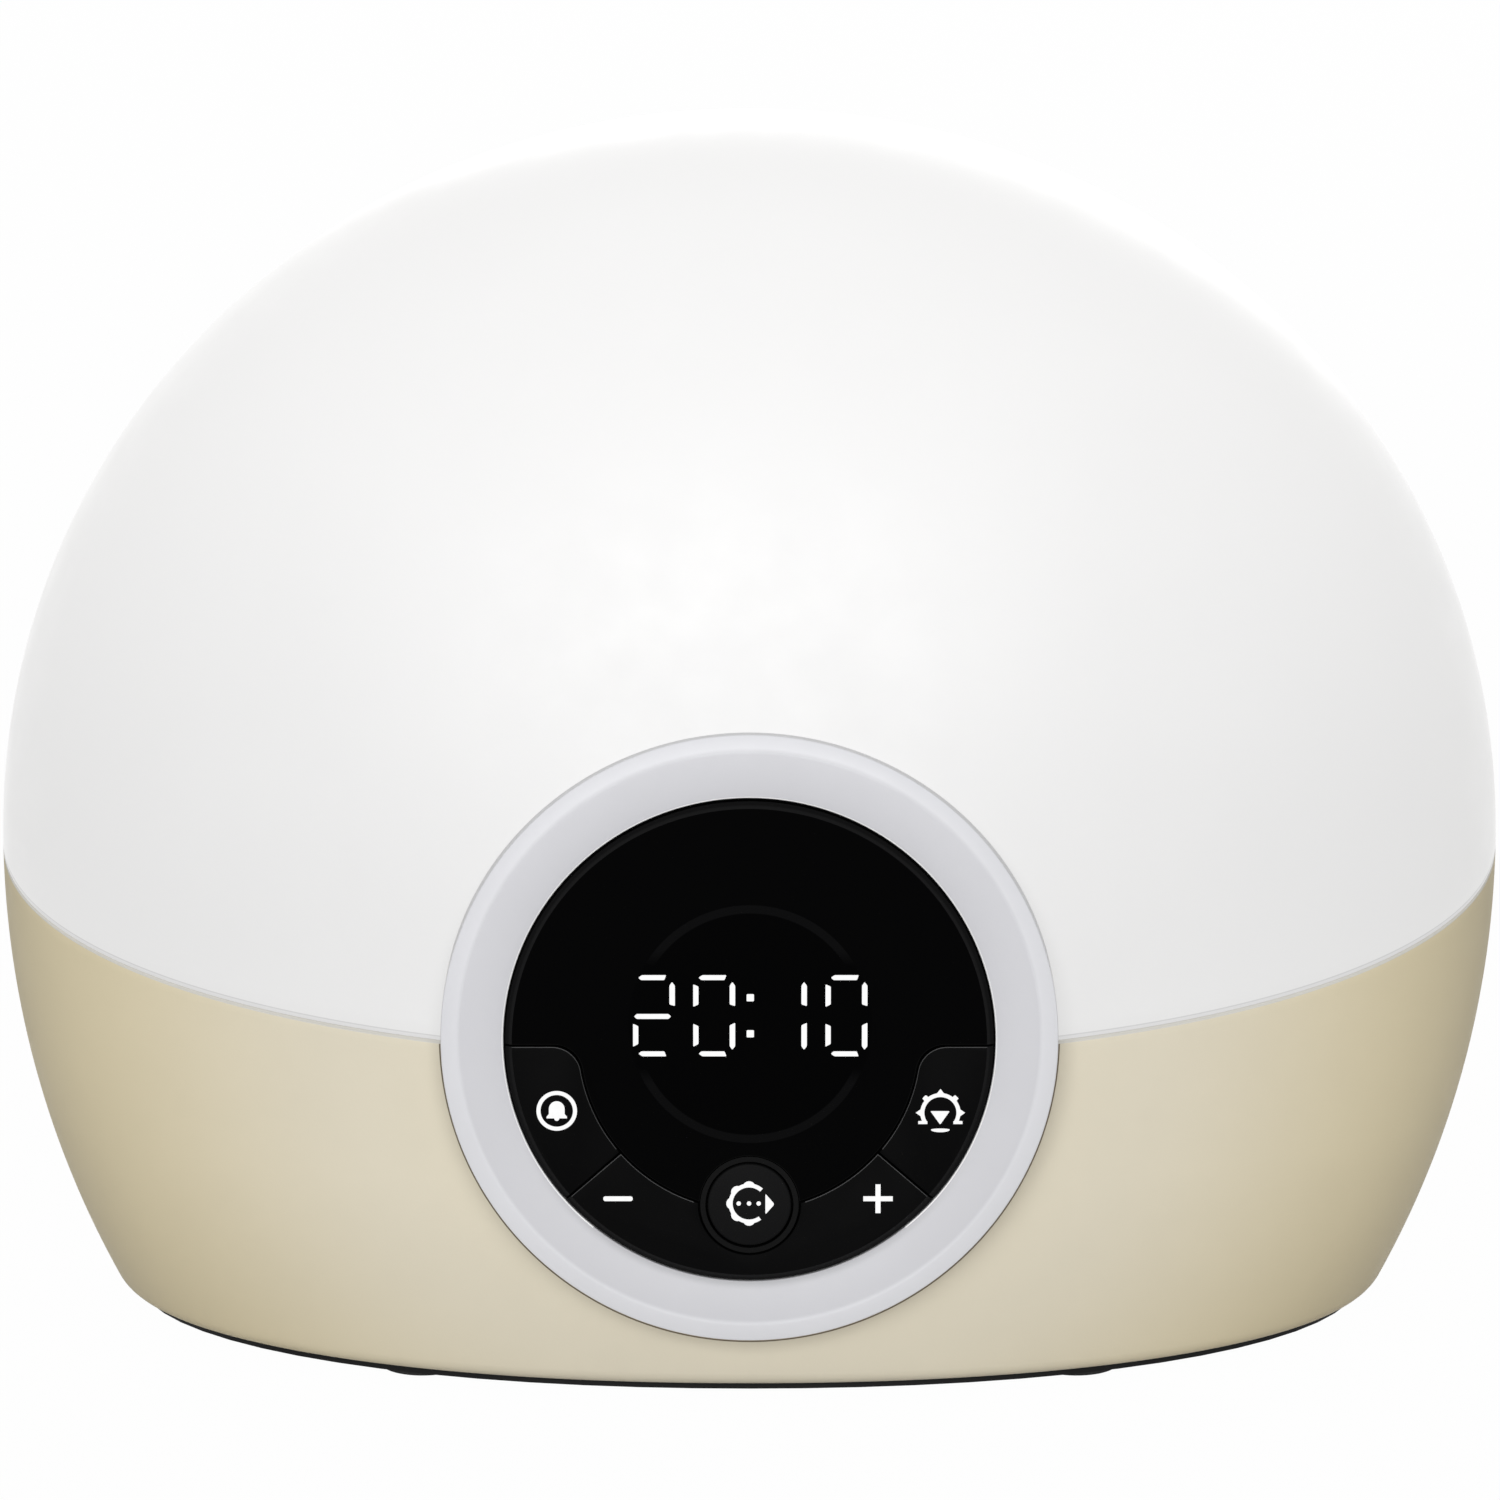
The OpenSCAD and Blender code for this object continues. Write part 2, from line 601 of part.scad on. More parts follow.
module rocker_key() color([0.06, 0.06, 0.065]) on_panel() difference() {
    union() {
        difference() {
            intersection() {
                disc_blank(cap_t);
                linear_extrude(20, center = true) polygon([[0, 0],
                    [-2 * disc_r * cos(split_a), -2 * disc_r * sin(split_a)], [0, -3 * disc_r],
                    [2 * disc_r * cos(split_a), -2 * disc_r * sin(split_a)]]);
            }
            translate([0, 0, -5]) window_area(key_gap / 2, 10);
            both_sides() rotate(180 + split_a) translate([0, key_gap / 2 - 5, -5]) cube([disc_d, 5, 10]);
            translate([0, -centre_drop, -5]) cylinder(r = collar_d / 2 + key_gap, h = 10);
        }
        at_stems(minus_a) stem(stem_r, plunger_top);
        translate([-lug_half, pivot_lug_low, pivot_z - 1.4])
            cube([2 * lug_half, pivot_lug_w, disc_proud - cap_t + 0.5 - pivot_z + 1.4]);
    }
    translate([0, -disc_r - 5, pivot_z]) rotate([-90, 0, 0]) cylinder(r = pivot_r + run, h = 20);
}

module rocker_pin() color([0.75, 0.75, 0.77]) on_panel()
    translate([0, pivot_lug_low - fit - pivot_cheek, pivot_z]) rotate([-90, 0, 0])
        cylinder(r = pivot_r, h = pivot_lug_w + 2 * fit + 2 * pivot_cheek);

module centre_key() color([0.06, 0.06, 0.065]) on_panel() translate([0, -centre_drop, 0]) {
    translate([0, 0, disc_proud - cap_t]) cylinder(r = centre_d / 2, h = cap_t - 0.3);
    translate([0, 0, disc_proud - 0.3]) cylinder(r1 = centre_d / 2, r2 = centre_d / 2 - 0.3, h = 0.3);
    stem(stem_r, plunger_top);
    translate([centre_pin_at, 0, 0]) stem(centre_pin_r, carrier_z - carrier_t - 0.4);
}

module key_carrier() color([0.10, 0.10, 0.11]) on_panel() difference() {
    union() {
        translate([0, 0, carrier_z - carrier_t]) cylinder(r = carrier_r, h = carrier_t);
        intersection() {
            translate([0, 0, carrier_z - 0.5])
                cylinder(r = disc_r - 0.6, h = disc_proud - window_t - carrier_z + 0.5);
            translate([0, 0, -5]) window_area(-1.2, 10);
        }
        translate([0, -centre_drop, carrier_z - 0.5])
            cylinder(r = collar_d / 2, h = disc_proud - carrier_z + 0.5);
        at_stems(alarm_a) guide_boss(stem_r);
        translate([0, -centre_drop, 0]) guide_boss(stem_r);
        for (a = carrier_legs) polar(carrier_leg_at, a) translate([0, 0, board_z])
            cylinder(r = carrier_leg_r, h = carrier_z - board_z - 0.5);
        translate([-lug_half - 2, pivot_lug_low - fit - pivot_cheek, pivot_z - pivot_r - 0.9])
            cube([2 * lug_half + 4, pivot_lug_w + 2 * fit + 2 * pivot_cheek, 2]);
    }
    translate([0, display_v, -20]) cylinder(r = display_r + fit, h = 40);
    translate([0, -centre_drop, carrier_z]) cylinder(r = centre_d / 2 + fit, h = 20);
    at_stems(alarm_a) through(stem_r + run);
    both_sides() for (a = guide_a) polar(key_mid_r + guide_out, alarm_a + a) through(pin_r + run);
    at_stems(minus_a) through(stem_r + 0.4);
    translate([0, -centre_drop, 0]) through(stem_r + run);
    translate([centre_pin_at, -centre_drop, 0]) through(centre_pin_r + run);
    at_bosses(concat(board_bosses, bezel_bosses)) through(boss_r + fit);
    translate([-lug_half - fit, pivot_lug_low - fit, -20])
        cube([2 * (lug_half + fit), pivot_lug_w + 2 * fit, 40]);
    translate([0, -disc_r - 5, pivot_z]) rotate([-90, 0, 0]) cylinder(r = pivot_r + 0.02, h = 20);
}
module through(r) translate([0, 0, -20]) cylinder(r = r, h = 40);
module guide_boss(r) translate([0, 0, carrier_z - carrier_t - guide_boss_h])
    cylinder(r = r + guide_wall, h = guide_boss_h + 0.5);

// One digit of seven cells, as wells in the display's face
module digit_cells() {
    bar_l = digit_w - 2 * stroke;
    post_l = (digit_h - 3 * stroke) / 2 - 2 * cell_gap;
    for (y = [-1, 0, 1]) translate([-bar_l / 2, (y * (digit_h - stroke) - stroke) / 2, 0])
        cube([bar_l, stroke, 1]);
    for (x = [-1, 1], y = [-1, 1])
        translate([(x * (digit_w - stroke) - stroke) / 2, y * (digit_h - stroke) / 4 - post_l / 2, 0])
            cube([stroke, post_l, 1]);
}

module clock_display() color([0.12, 0.12, 0.13]) on_panel() translate([0, 0, board_z]) {
    h = disc_proud - window_t - 0.2 - board_z;
    difference() {
        translate([0, display_v, 0]) cylinder(r = display_r, h = h);
        for (x = digit_x) translate([x, digit_v, h - cell_depth]) digit_cells();
        for (y = [-1, 1]) translate([-colon_s / 2, digit_v + y * colon_v - colon_s / 2, h - cell_depth])
            cube([colon_s, colon_s, 1]);
        translate([0, halo_v, h - cell_depth]) difference() {
            cylinder(r = halo_r + stroke / 2, h = 1);
            translate([0, 0, -1]) cylinder(r = halo_r - stroke / 2, h = 3);
            translate([-display_r, digit_v - halo_v - halo_break / 2, -1])
                cube([2 * display_r, halo_break, 3]);
        }
    }
}

module control_board() color([0.05, 0.25, 0.14]) on_panel() difference() {
    translate([0, 0, board_z - board_t]) cylinder(r = board_r, h = board_t);
    at_bosses(board_bosses) through(panel_shank_r + 0.15);
    at_bosses(bezel_bosses) through(boss_r + fit);
}

module switch_housing(play) translate([0, 0, board_z]) difference() {
    translate([-switch_s / 2, -switch_s / 2, 0]) cube([switch_s, switch_s, switch_h]);
    translate([0, 0, switch_well]) cylinder(r = plunger_r + play, h = switch_h);
}
module switch_housings() color([0.30, 0.30, 0.32]) on_panel() {
    at_stems(alarm_a) switch_housing(run);
    at_stems(minus_a) switch_housing(fit);
    translate([0, -centre_drop, 0]) switch_housing(run);
}
module plunger() translate([0, 0, board_z + plunger_foot])
    cylinder(r = plunger_r, h = plunger_top - board_z - plunger_foot);
module alarm_plunger() color([0.8, 0.8, 0.8]) on_panel() polar(key_mid_r, alarm_a) plunger();
module sunset_plunger() color([0.8, 0.8, 0.8]) on_panel() mirror([1, 0, 0])
    polar(key_mid_r, alarm_a) plunger();
module centre_plunger() color([0.8, 0.8, 0.8]) on_panel()
    translate([0, -centre_drop, 0]) plunger();
module rocker_plungers() color([0.8, 0.8, 0.8]) on_panel() at_stems(minus_a) plunger();

module controller_chip() color([0.08, 0.08, 0.09]) on_panel()
    translate([-controller_s / 2, 4, board_z - board_t - controller_h])
        cube([controller_s, controller_s, controller_h]);

module panel_screws() color([0.62, 0.63, 0.65]) on_panel() at_bosses(board_bosses)
    translate([0, 0, board_z - board_t - panel_head_h])
        screw(panel_head_r, panel_head_h, panel_shank_r, board_t + panel_bite);

module panel_cover() color([0.90, 0.90, 0.90]) on_panel() difference() {
    translate([0, 0, -skirt_depth - cover_t]) cylinder(r = ring_r, h = cover_t);
    at_bosses(bezel_bosses) through(bezel_shank_r + 0.35);
    translate([-ribbon_w / 2 - 1, ribbon_v - 2.5, -20]) cube([ribbon_w + 2, 5, 20]);
}

module bezel_screws() color([0.62, 0.63, 0.65]) on_panel() at_bosses(bezel_bosses)
    translate([0, 0, -skirt_depth - cover_t - lug_t - bezel_head_h])
        screw(bezel_head_r, bezel_head_h, bezel_shank_r, lug_t + cover_t + bezel_bite);

// Flat cable from the control board down to the main board
ribbon_from = panel_point(ribbon_v, -board_z + board_t + socket_h - 1);
ribbon_to = [main_y - main_d / 2 + socket_end - ribbon_t, main_top + socket_d / 2];
module ribbon_cable() color([0.75, 0.76, 0.78]) in_body() translate([-ribbon_w / 2, 0, 0])
    rotate([90, 0, 90]) linear_extrude(ribbon_w) {
        n = 14;
        a = ribbon_from;
        d = ribbon_to;
        b = a + ribbon_out * [cos(panel_tilt), -sin(panel_tilt)];
        c = d - [ribbon_in, 0];
        path = [for (i = [0:n]) let (f = i / n)
            a * pow(1 - f, 3) + b * 3 * f * pow(1 - f, 2) + c * 3 * pow(f, 2) * (1 - f) + d * pow(f, 3)];
        side = [for (i = [0:n]) let (q = path[min(n, i + 1)] - path[max(0, i - 1)])
            [-q[1], q[0]] / norm(q) * ribbon_t / 2];
        polygon(concat([for (i = [0:n]) path[i] + side[i]], [for (i = [n:-1:0]) path[i] - side[i]]));
    }

module ribbon_sockets() color([0.93, 0.92, 0.88]) {
    on_panel() translate([0, ribbon_v, board_z - board_t - socket_h]) difference() {
        translate([-ribbon_w / 2 - socket_end, -socket_d / 2, 0])
            cube([ribbon_w + 2 * socket_end, socket_d, socket_h]);
        translate([-ribbon_w / 2 - slip, -slot_t / 2, -1])
            cube([ribbon_w + 2 * slip, slot_t, socket_h - slot_t]);
    }
    in_body() translate([0, ribbon_to[0], main_top]) difference() {
        translate([-ribbon_w / 2 - socket_end, -1, 0])
            cube([ribbon_w + 2 * socket_end, socket_d + 1, socket_h + 0.5]);
        translate([-ribbon_w / 2 - slip, -2, socket_d / 2 - slot_t / 2])
            cube([ribbon_w + 2 * slip, 2.2, slot_t]);
    }
}

module main_board() color([0.05, 0.25, 0.14]) in_body() translate([0, main_y, main_z]) difference() {
    translate([-main_w / 2, -main_d / 2, 0]) cube([main_w, main_d, board_t]);
    four(pillar_x, pillar_y) through(small_shank_r + 0.25);
}

module board_screws() color([0.62, 0.63, 0.65]) in_body() translate([0, main_y, main_top])
    four(pillar_x, pillar_y) translate([0, 0, board_head_h]) mirror([0, 0, 1])
        screw(board_head_r, board_head_h, small_shank_r, board_t + board_bite);

module dc_jack() color([0.07, 0.07, 0.08]) in_body() difference() {
    union() {
        translate([-jack_w / 2, jack_back_y - jack_l, main_top]) cube([jack_w, jack_l, jack_h]);
        jack_bore(jack_nose_r, 1, base_wall + 1);
    }
    jack_bore(jack_bore_r, jack_bore_l, jack_bore_l + base_wall + 1);
    jack_bore(jack_pin_r + 0.02, jack_bore_l + 2, 3);
}
module jack_bore(r, back, length) translate([0, jack_back_y - back, jack_z])
    rotate([-90, 0, 0]) cylinder(r = r, h = length);
module jack_pin() color([0.80, 0.78, 0.70]) in_body()
    jack_bore(jack_pin_r, jack_bore_l + 2, jack_bore_l + 1);

module filter_capacitors() color([0.15, 0.16, 0.30]) in_body() for (at = capacitors_at)
    translate([at[0], at[1], main_top]) cylinder(r = capacitor_r, h = capacitor_h);

module choke_coil() color([0.45, 0.24, 0.12]) in_body() translate([choke_at[0], choke_at[1], main_top])
    difference() {
        cylinder(r = choke_r, h = choke_h);
        translate([0, 0, 1]) cylinder(r = choke_r / 3, h = choke_h);
    }

module driver_chip() color([0.08, 0.08, 0.09]) in_body()
    translate([driver_at[0], driver_at[1], main_top]) cube(driver_size);

module sounder() color([0.10, 0.10, 0.11]) in_body()
    translate([sounder_at[0], sounder_at[1], plate_top]) difference() {
        cylinder(r = sounder_r, h = sounder_h);
        translate([0, 0, -1]) cylinder(r = sounder_r - sounder_wall, h = 2);
        translate([0, 0, sounder_h - 1.5]) cylinder(r = sounder_wall, h = 3);
    }

// Underside of the LED board on the lead's own line, in the body's frame
lead_seam_y = led_y - led_d / 2 + 3;
function seam_point(y, z) =
    [y * cos(seam_tilt) - z * sin(seam_tilt), seam_z + y * sin(seam_tilt) + z * cos(seam_tilt)];
lead_top = seam_point(lead_seam_y, led_z - board_t - plug_h);
module led_lead_sockets() color([0.93, 0.92, 0.88]) {
    on_seam() translate([lead_x - plug_w / 2, lead_seam_y - plug_d / 2, led_z - board_t - plug_h])
        cube([plug_w, plug_d, plug_h]);
    in_body() translate([lead_x - plug_w / 2, lead_top[0] - plug_d / 2, main_top])
        cube([plug_w, plug_d, plug_h]);
}
module led_lead() color([0.60, 0.10, 0.08]) in_body() difference() {
    for (x = [-1, 1]) translate([lead_x + x, lead_top[0], main_top + plug_h])
        cylinder(r = lead_r, h = lead_top[1] - main_top);
    translate([0, -body_y, 0]) on_seam()
        translate([lead_x - plug_w, lead_seam_y - plug_w, led_z - board_t - plug_h]) cube(3 * plug_w);
}

module reflector_tray() color([0.94, 0.94, 0.93]) difference() {
    union() {
        in_body() loft([seam_ring(tray_inset + tray_wall, tray_drop),
                        seam_ring(tray_inset + tray_wall, tray_drop - tray_wall_h),
                        seam_ring(tray_inset, tray_drop - tray_wall_h),
                        seam_ring(tray_inset, tray_drop + tray_t / cos(seam_tilt))],
                       [0, 0, seam_z - tray_drop], [0, 0, seam_z - tray_drop - tray_t / cos(seam_tilt)]);
        at_led_screws() cylinder(r = led_post_r, h = led_gap + 0.5);
    }
    panel_bore(socket_t + 2 * fit, skirt_depth + cover_t + lug_t + 3);
    on_seam() translate([led_rim - led_w / 2, led_y + led_rim - led_d / 2, -20])
        cube([led_w - 2 * led_rim, led_d - 2 * led_rim, 40]);
    at_led_screws() translate([0, 0, -1]) cylinder(r = led_shank_r + slip, h = led_gap + 2);
    at_tray_posts(0) through(small_shank_r + 0.45);
}
module at_led_screws() on_seam() translate([0, led_y, led_z])
    four(led_w / 2 - led_screw_in, led_d / 2 - led_screw_in) children();

module tray_screws() color([0.62, 0.63, 0.65])
    at_tray_posts(tray_head_h - tray_drop * cos(seam_tilt)) mirror([0, 0, 1])
        screw(tray_head_r, tray_head_h, small_shank_r, tray_screw_l);

module led_board() color([0.88, 0.89, 0.90]) difference() {
    on_seam() translate([-led_w / 2, led_y - led_d / 2, led_z - board_t]) cube([led_w, led_d, board_t]);
    at_led_screws() translate([0, 0, -board_t - 1]) cylinder(r = led_shank_r + fit, h = board_t + 2);
}

module leds() color([0.95, 0.85, 0.45]) on_seam() for (i = [0:led_row - 1], j = [-1, 1])
    translate([(i - (led_row - 1) / 2) * led_pitch - led_size[0] / 2,
               led_y + j * led_row_y - led_size[1] / 2, led_z])
        cube(led_size);

module heat_sink() color([0.70, 0.71, 0.73]) difference() {
    on_seam() translate([0, led_y - led_d / 2 + sink_step, led_z - board_t - sink_base]) {
        translate([-led_w / 2, 0, 0]) cube([led_w, led_d - sink_step, sink_base]);
        for (i = [0:fin_count - 1])
            translate([mix(-led_w / 2, led_w / 2 - fin_t, i / (fin_count - 1)), 0, -fin_h])
                cube([fin_t, led_d - sink_step, fin_h + 0.5]);
    }
    at_led_screws() translate([0, 0, -20]) cylinder(r = led_shank_r + fit, h = 20);
    at_led_screws() translate([0, 0, -board_t - sink_base - 20])
        cylinder(r = sink_head_r + 0.8, h = 20);
}

module heat_sink_screws() color([0.62, 0.63, 0.65]) {
    sink_screws(led_d / 2 - led_screw_in, sink_base);
    sink_screws(led_screw_in - led_d / 2, 0);
}
// A pair of screws from below into the tray's posts, through the sink or the board alone
module sink_screws(y, through_t) on_seam() translate([0, led_y + y, led_z - board_t - through_t])
    both_sides() translate([led_w / 2 - led_screw_in, 0, -sink_head_h])
        screw(sink_head_r, sink_head_h, led_shank_r, through_t + board_t + led_gap - 0.6);

diffuser_dome();
base_shell();
bottom_plate();
rubber_feet();
bottom_screws();
bezel_ring();
display_window();
alarm_key();
sunset_key();
rocker_key();
rocker_pin();
centre_key();
key_carrier();
clock_display();
control_board();
switch_housings();
alarm_plunger();
sunset_plunger();
centre_plunger();
rocker_plungers();
controller_chip();
panel_screws();
panel_cover();
bezel_screws();
ribbon_sockets();
ribbon_cable();
main_board();
board_screws();
dc_jack();
jack_pin();
filter_capacitors();
choke_coil();
driver_chip();
sounder();
led_lead_sockets();
led_lead();
reflector_tray();
tray_screws();
led_board();
leds();
heat_sink();
heat_sink_screws();
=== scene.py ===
import math

import bmesh
import bpy
from mathutils import Matrix, Vector


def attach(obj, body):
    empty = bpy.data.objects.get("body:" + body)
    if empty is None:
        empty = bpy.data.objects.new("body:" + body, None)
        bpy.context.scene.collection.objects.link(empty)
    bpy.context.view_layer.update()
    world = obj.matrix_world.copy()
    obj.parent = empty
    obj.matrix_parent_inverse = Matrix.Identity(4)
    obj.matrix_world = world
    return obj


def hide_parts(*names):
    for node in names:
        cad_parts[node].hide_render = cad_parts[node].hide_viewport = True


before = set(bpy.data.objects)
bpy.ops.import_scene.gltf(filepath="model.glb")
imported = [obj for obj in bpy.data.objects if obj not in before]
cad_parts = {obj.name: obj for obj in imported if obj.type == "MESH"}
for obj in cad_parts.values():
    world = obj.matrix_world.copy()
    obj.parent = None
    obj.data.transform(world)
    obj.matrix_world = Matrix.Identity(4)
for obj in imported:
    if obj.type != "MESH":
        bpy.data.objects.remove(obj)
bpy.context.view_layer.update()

# Bottom plate: black ABS moulding with vents, sounder holes and board pillars, held by four
# screws. Its edge shows as a dark strip under the base. Fine spark-eroded grain, half matt.


def paint(name, **sockets):
    """A new material, with values set on its shader: Metallic=1 and so on."""
    made = bpy.data.materials.new(name)
    made.use_nodes = True
    shader = made.node_tree.nodes["Principled BSDF"]
    for socket, value in sockets.items():
        shader.inputs[socket.replace("_", " ")].default_value = value
    return made


def node(made, kind, inputs=None, **settings):
    """A node of the given kind in a material. Inputs are numbers, colours or other outputs."""
    placed = made.node_tree.nodes.new("ShaderNode" + kind)
    for key, value in settings.items():
        setattr(placed, key, value)
    for key, value in (inputs or {}).items():
        if isinstance(value, bpy.types.NodeSocket):
            made.node_tree.links.new(value, placed.inputs[key])
        else:
            placed.inputs[key].default_value = value
    return placed


def feed(made, socket, output):
    made.node_tree.links.new(output, made.node_tree.nodes["Principled BSDF"].inputs[socket])


def place(made, stretch=(1, 1, 1)):
    """Object coordinates, stretched along an axis for brushed or drawn surfaces."""
    where = node(made, "TexCoord").outputs["Object"]
    return node(made, "Mapping", {"Vector": where, "Scale": stretch}).outputs["Vector"]


def noise(made, per_metre, detail=3.0, stretch=(1, 1, 1)):
    return node(made, "TexNoise", {"Vector": place(made, stretch), "Scale": per_metre,
                                   "Detail": detail, "Roughness": 0.55}).outputs["Fac"]


def spread(made, value, low, high):
    """A noise value mapped onto a range."""
    return node(made, "MapRange", {"Value": value, "From Min": 0.3, "From Max": 0.7,
                                   "To Min": low, "To Max": high}).outputs["Result"]


def blend(made, share, one, two):
    """The share of the way from one colour to the other. Either may be an output."""
    ends = [c if isinstance(c, bpy.types.NodeSocket) else (*c, 1) for c in (one, two)]
    return node(made, "Mix", {0: share, 6: ends[0], 7: ends[1]}, data_type="RGBA").outputs[2]


def tint(made, value, one, two):
    """Base colour that wanders between two close tones."""
    feed(made, "Base Color", blend(made, value, one, two))


def grain(made, value, depth):
    bump = node(made, "Bump", {"Height": value, "Distance": depth, "Strength": 1.0})
    feed(made, "Normal", bump.outputs["Normal"])


def textured(name, rough, texture, depth, **sockets):
    """Uneven gloss and a fine mould grain on a new material that has no colour yet."""
    made = paint(name, **sockets)
    feed(made, "Roughness", spread(made, noise(made, 160, 5), rough - 0.04, rough + 0.04))
    grain(made, noise(made, texture, 2), depth)
    return made


def moulded(name, dark, light, rough, texture=2600, depth=0.000012, **sockets):
    """Injection-moulded plastic: the texture above with faint flow clouds in its colour."""
    made = textured(name, rough, texture, depth, **sockets)
    tint(made, spread(made, noise(made, 45, 4), 0, 1), dark, light)
    return made


def dress(made, *names):
    """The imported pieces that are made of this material."""
    for name in names:
        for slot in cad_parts[name].material_slots:
            slot.material = made


black_plastic = moulded("black_plastic", (0.0045, 0.0045, 0.0045), (0.0065, 0.0065, 0.0065), 0.55,
                        Specular_IOR_Level=0.12)
dress(black_plastic, "bottom_plate")

# Feet: four grey-black rubber discs pressed into the bottom plate, dusty matt with a few scuffs
# from the table they stand on.


def mottled(name, dark, light, patches, gloss, rough, **sockets):
    """A colour that wanders between two tones, and a gloss of its own. Patches and gloss give the
    size of their noise, per metre, and its detail."""
    made = paint(name, **sockets)
    tint(made, spread(made, noise(made, *patches), 0, 1), dark, light)
    feed(made, "Roughness", spread(made, noise(made, *gloss), *rough))
    return made


foot_rubber = mottled("foot_rubber", (0.012, 0.012, 0.012), (0.032, 0.031, 0.030), (300, 6),
                      (700, 4), (0.7, 0.95), Specular_IOR_Level=0.3)
grain(foot_rubber, noise(foot_rubber, 1800, 5), 0.00004)
dress(foot_rubber, "rubber_feet")

# Screws: zinc-plated steel with a cross recess, thin turning marks and slightly mottled plating.
# They hold the bottom plate, the boards, the ring, the tray and the heat sink.
screw_steel = mottled("screw_steel", (0.50, 0.50, 0.51), (0.66, 0.65, 0.63), (900, 5),
                      (2500, 3), (0.22, 0.42), Metallic=1.0)
grain(screw_steel, noise(screw_steel, 5000, 2, (1, 1, 6)), 0.000008)
dress(screw_steel, "bottom_screws", "panel_screws", "bezel_screws", "board_screws",
      "tray_screws", "heat_sink_screws")

# Base shell: one warm beige moulding, an oval bowl whose upper edge slopes down to the front.
# A thin lip stands outside the dome's tongue, and a round bore at the front takes the panel.
BODY_Y = 2.9902
HALF_WIDTH = 107.495
HALF_DEPTH = 58.998
WIDEST_Z = 66.9
DOME_H = 105.5
RIM_Z = 2.1
SIDE_BOW = 122.403
FRONT_BOW = 234.367
DOME_FULL = 2.03
PLAN_FULL = 2.1
SEAM_Z = 67.9
SEAM_TILT = math.radians(17)
SEAM_SLOPE = math.tan(SEAM_TILT)
SEAM_GAP = 0.4
TONGUE_H = 3.0
LIP_T = 1.1
SLIP = 0.1
BASE_WALL = 2.4
FOOT_ROUND = 2.0
ROUND_THE_BODY = 288
SIZE = Matrix.Scale(0.001, 4)
PANEL_AT = (0.0, -58.5089, 53.2)
PANEL_TILT = math.radians(86.5)
PANEL = SIZE @ Matrix.Translation(PANEL_AT) @ Matrix.Rotation(PANEL_TILT, 4, "X")
BORE_R = 42.45


def section(z, inset):
    """Half width and half depth of the body at the height z, its wall drawn in by inset."""
    if z >= WIDEST_Z:
        rise = min(1.0, (z - WIDEST_Z) / (DOME_H - inset))
        share = (1 - rise ** DOME_FULL) ** (1 / DOME_FULL)
        return (HALF_WIDTH - inset) * share, (HALF_DEPTH - inset) * share
    drop = WIDEST_Z - z
    return ((HALF_WIDTH - inset) * math.sqrt(1 - (drop / SIDE_BOW) ** 2),
            (HALF_DEPTH - inset) * math.sqrt(1 - (drop / FRONT_BOW) ** 2))


def plan(angle):
    """Point of the body's plan in the direction angle, at unit size."""
    c, s = math.cos(angle), math.sin(angle)
    reach = (abs(c) ** PLAN_FULL + abs(s) ** PLAN_FULL) ** (-1 / PLAN_FULL)
    return reach * c, reach * s


def skin(angle, z, inset=0.0):
    """Point of the body's skin in the direction angle, seen from above."""
    x, y = plan(angle)
    wide, deep = section(z, inset)
    return Vector((wide * x, deep * y + BODY_Y, z))


def seam(angle, inset=0.0, drop=0.0):
    """Height at which the skin meets the sloping seam plane, lowered by drop."""
    z = SEAM_Z
    for _ in range(14):
        z = SEAM_Z - drop + SEAM_SLOPE * (skin(angle, z, inset).y - BODY_Y)
    return z


def spun(rows, turns, where):
    """A row of points spun a full turn and joined, then each put where its row and angle say."""
    bm = bmesh.new()
    line = [bm.verts.new((2 + i, 0, 0)) for i in range(rows)]
    edges = [bm.edges.new(pair) for pair in zip(line, line[1:])]
    bmesh.ops.spin(bm, geom=line + edges, cent=(0, 0, 0), axis=(0, 0, 1),
                   angle=2 * math.pi, steps=turns, use_merge=True)
    for v in bm.verts:
        v.co = where(round(math.hypot(v.co.x, v.co.y)) - 2, math.atan2(v.co.y, v.co.x))
    bmesh.ops.remove_doubles(bm, verts=bm.verts, dist=0.0005)
    bmesh.ops.recalc_face_normals(bm, faces=bm.faces)
    return bm


def ease(bm, width, least, steps=2, chosen=lambda edge: True):
    """A small round on every edge that is sharper than the least angle."""
    sharp = [e for e in bm.edges if len(e.link_faces) == 2
             and e.calc_face_angle(0) > math.radians(least) and chosen(e)]
    rounded = bmesh.ops.bevel(bm, geom=sharp, offset=width, offset_type="OFFSET", segments=steps,
                              profile=0.5, affect="EDGES", clamp_overlap=True, material=-1)
    return rounded["faces"]


def piece(name, bm, made, seat=SIZE, smooth=38):
    """A finished piece from a mesh in millimetres, put in its seat. It has one finish or more."""
    bm.transform(seat)
    mesh = bpy.data.meshes.new(name)
    bm.to_mesh(mesh)
    bm.free()
    for finish in made if isinstance(made, tuple) else (made,):
        mesh.materials.append(finish)
    mesh.shade_smooth()
    mesh.set_sharp_from_angle(angle=math.radians(smooth))
    made_piece = bpy.data.objects.new(name, mesh)
    bpy.context.scene.collection.objects.link(made_piece)
    return made_piece


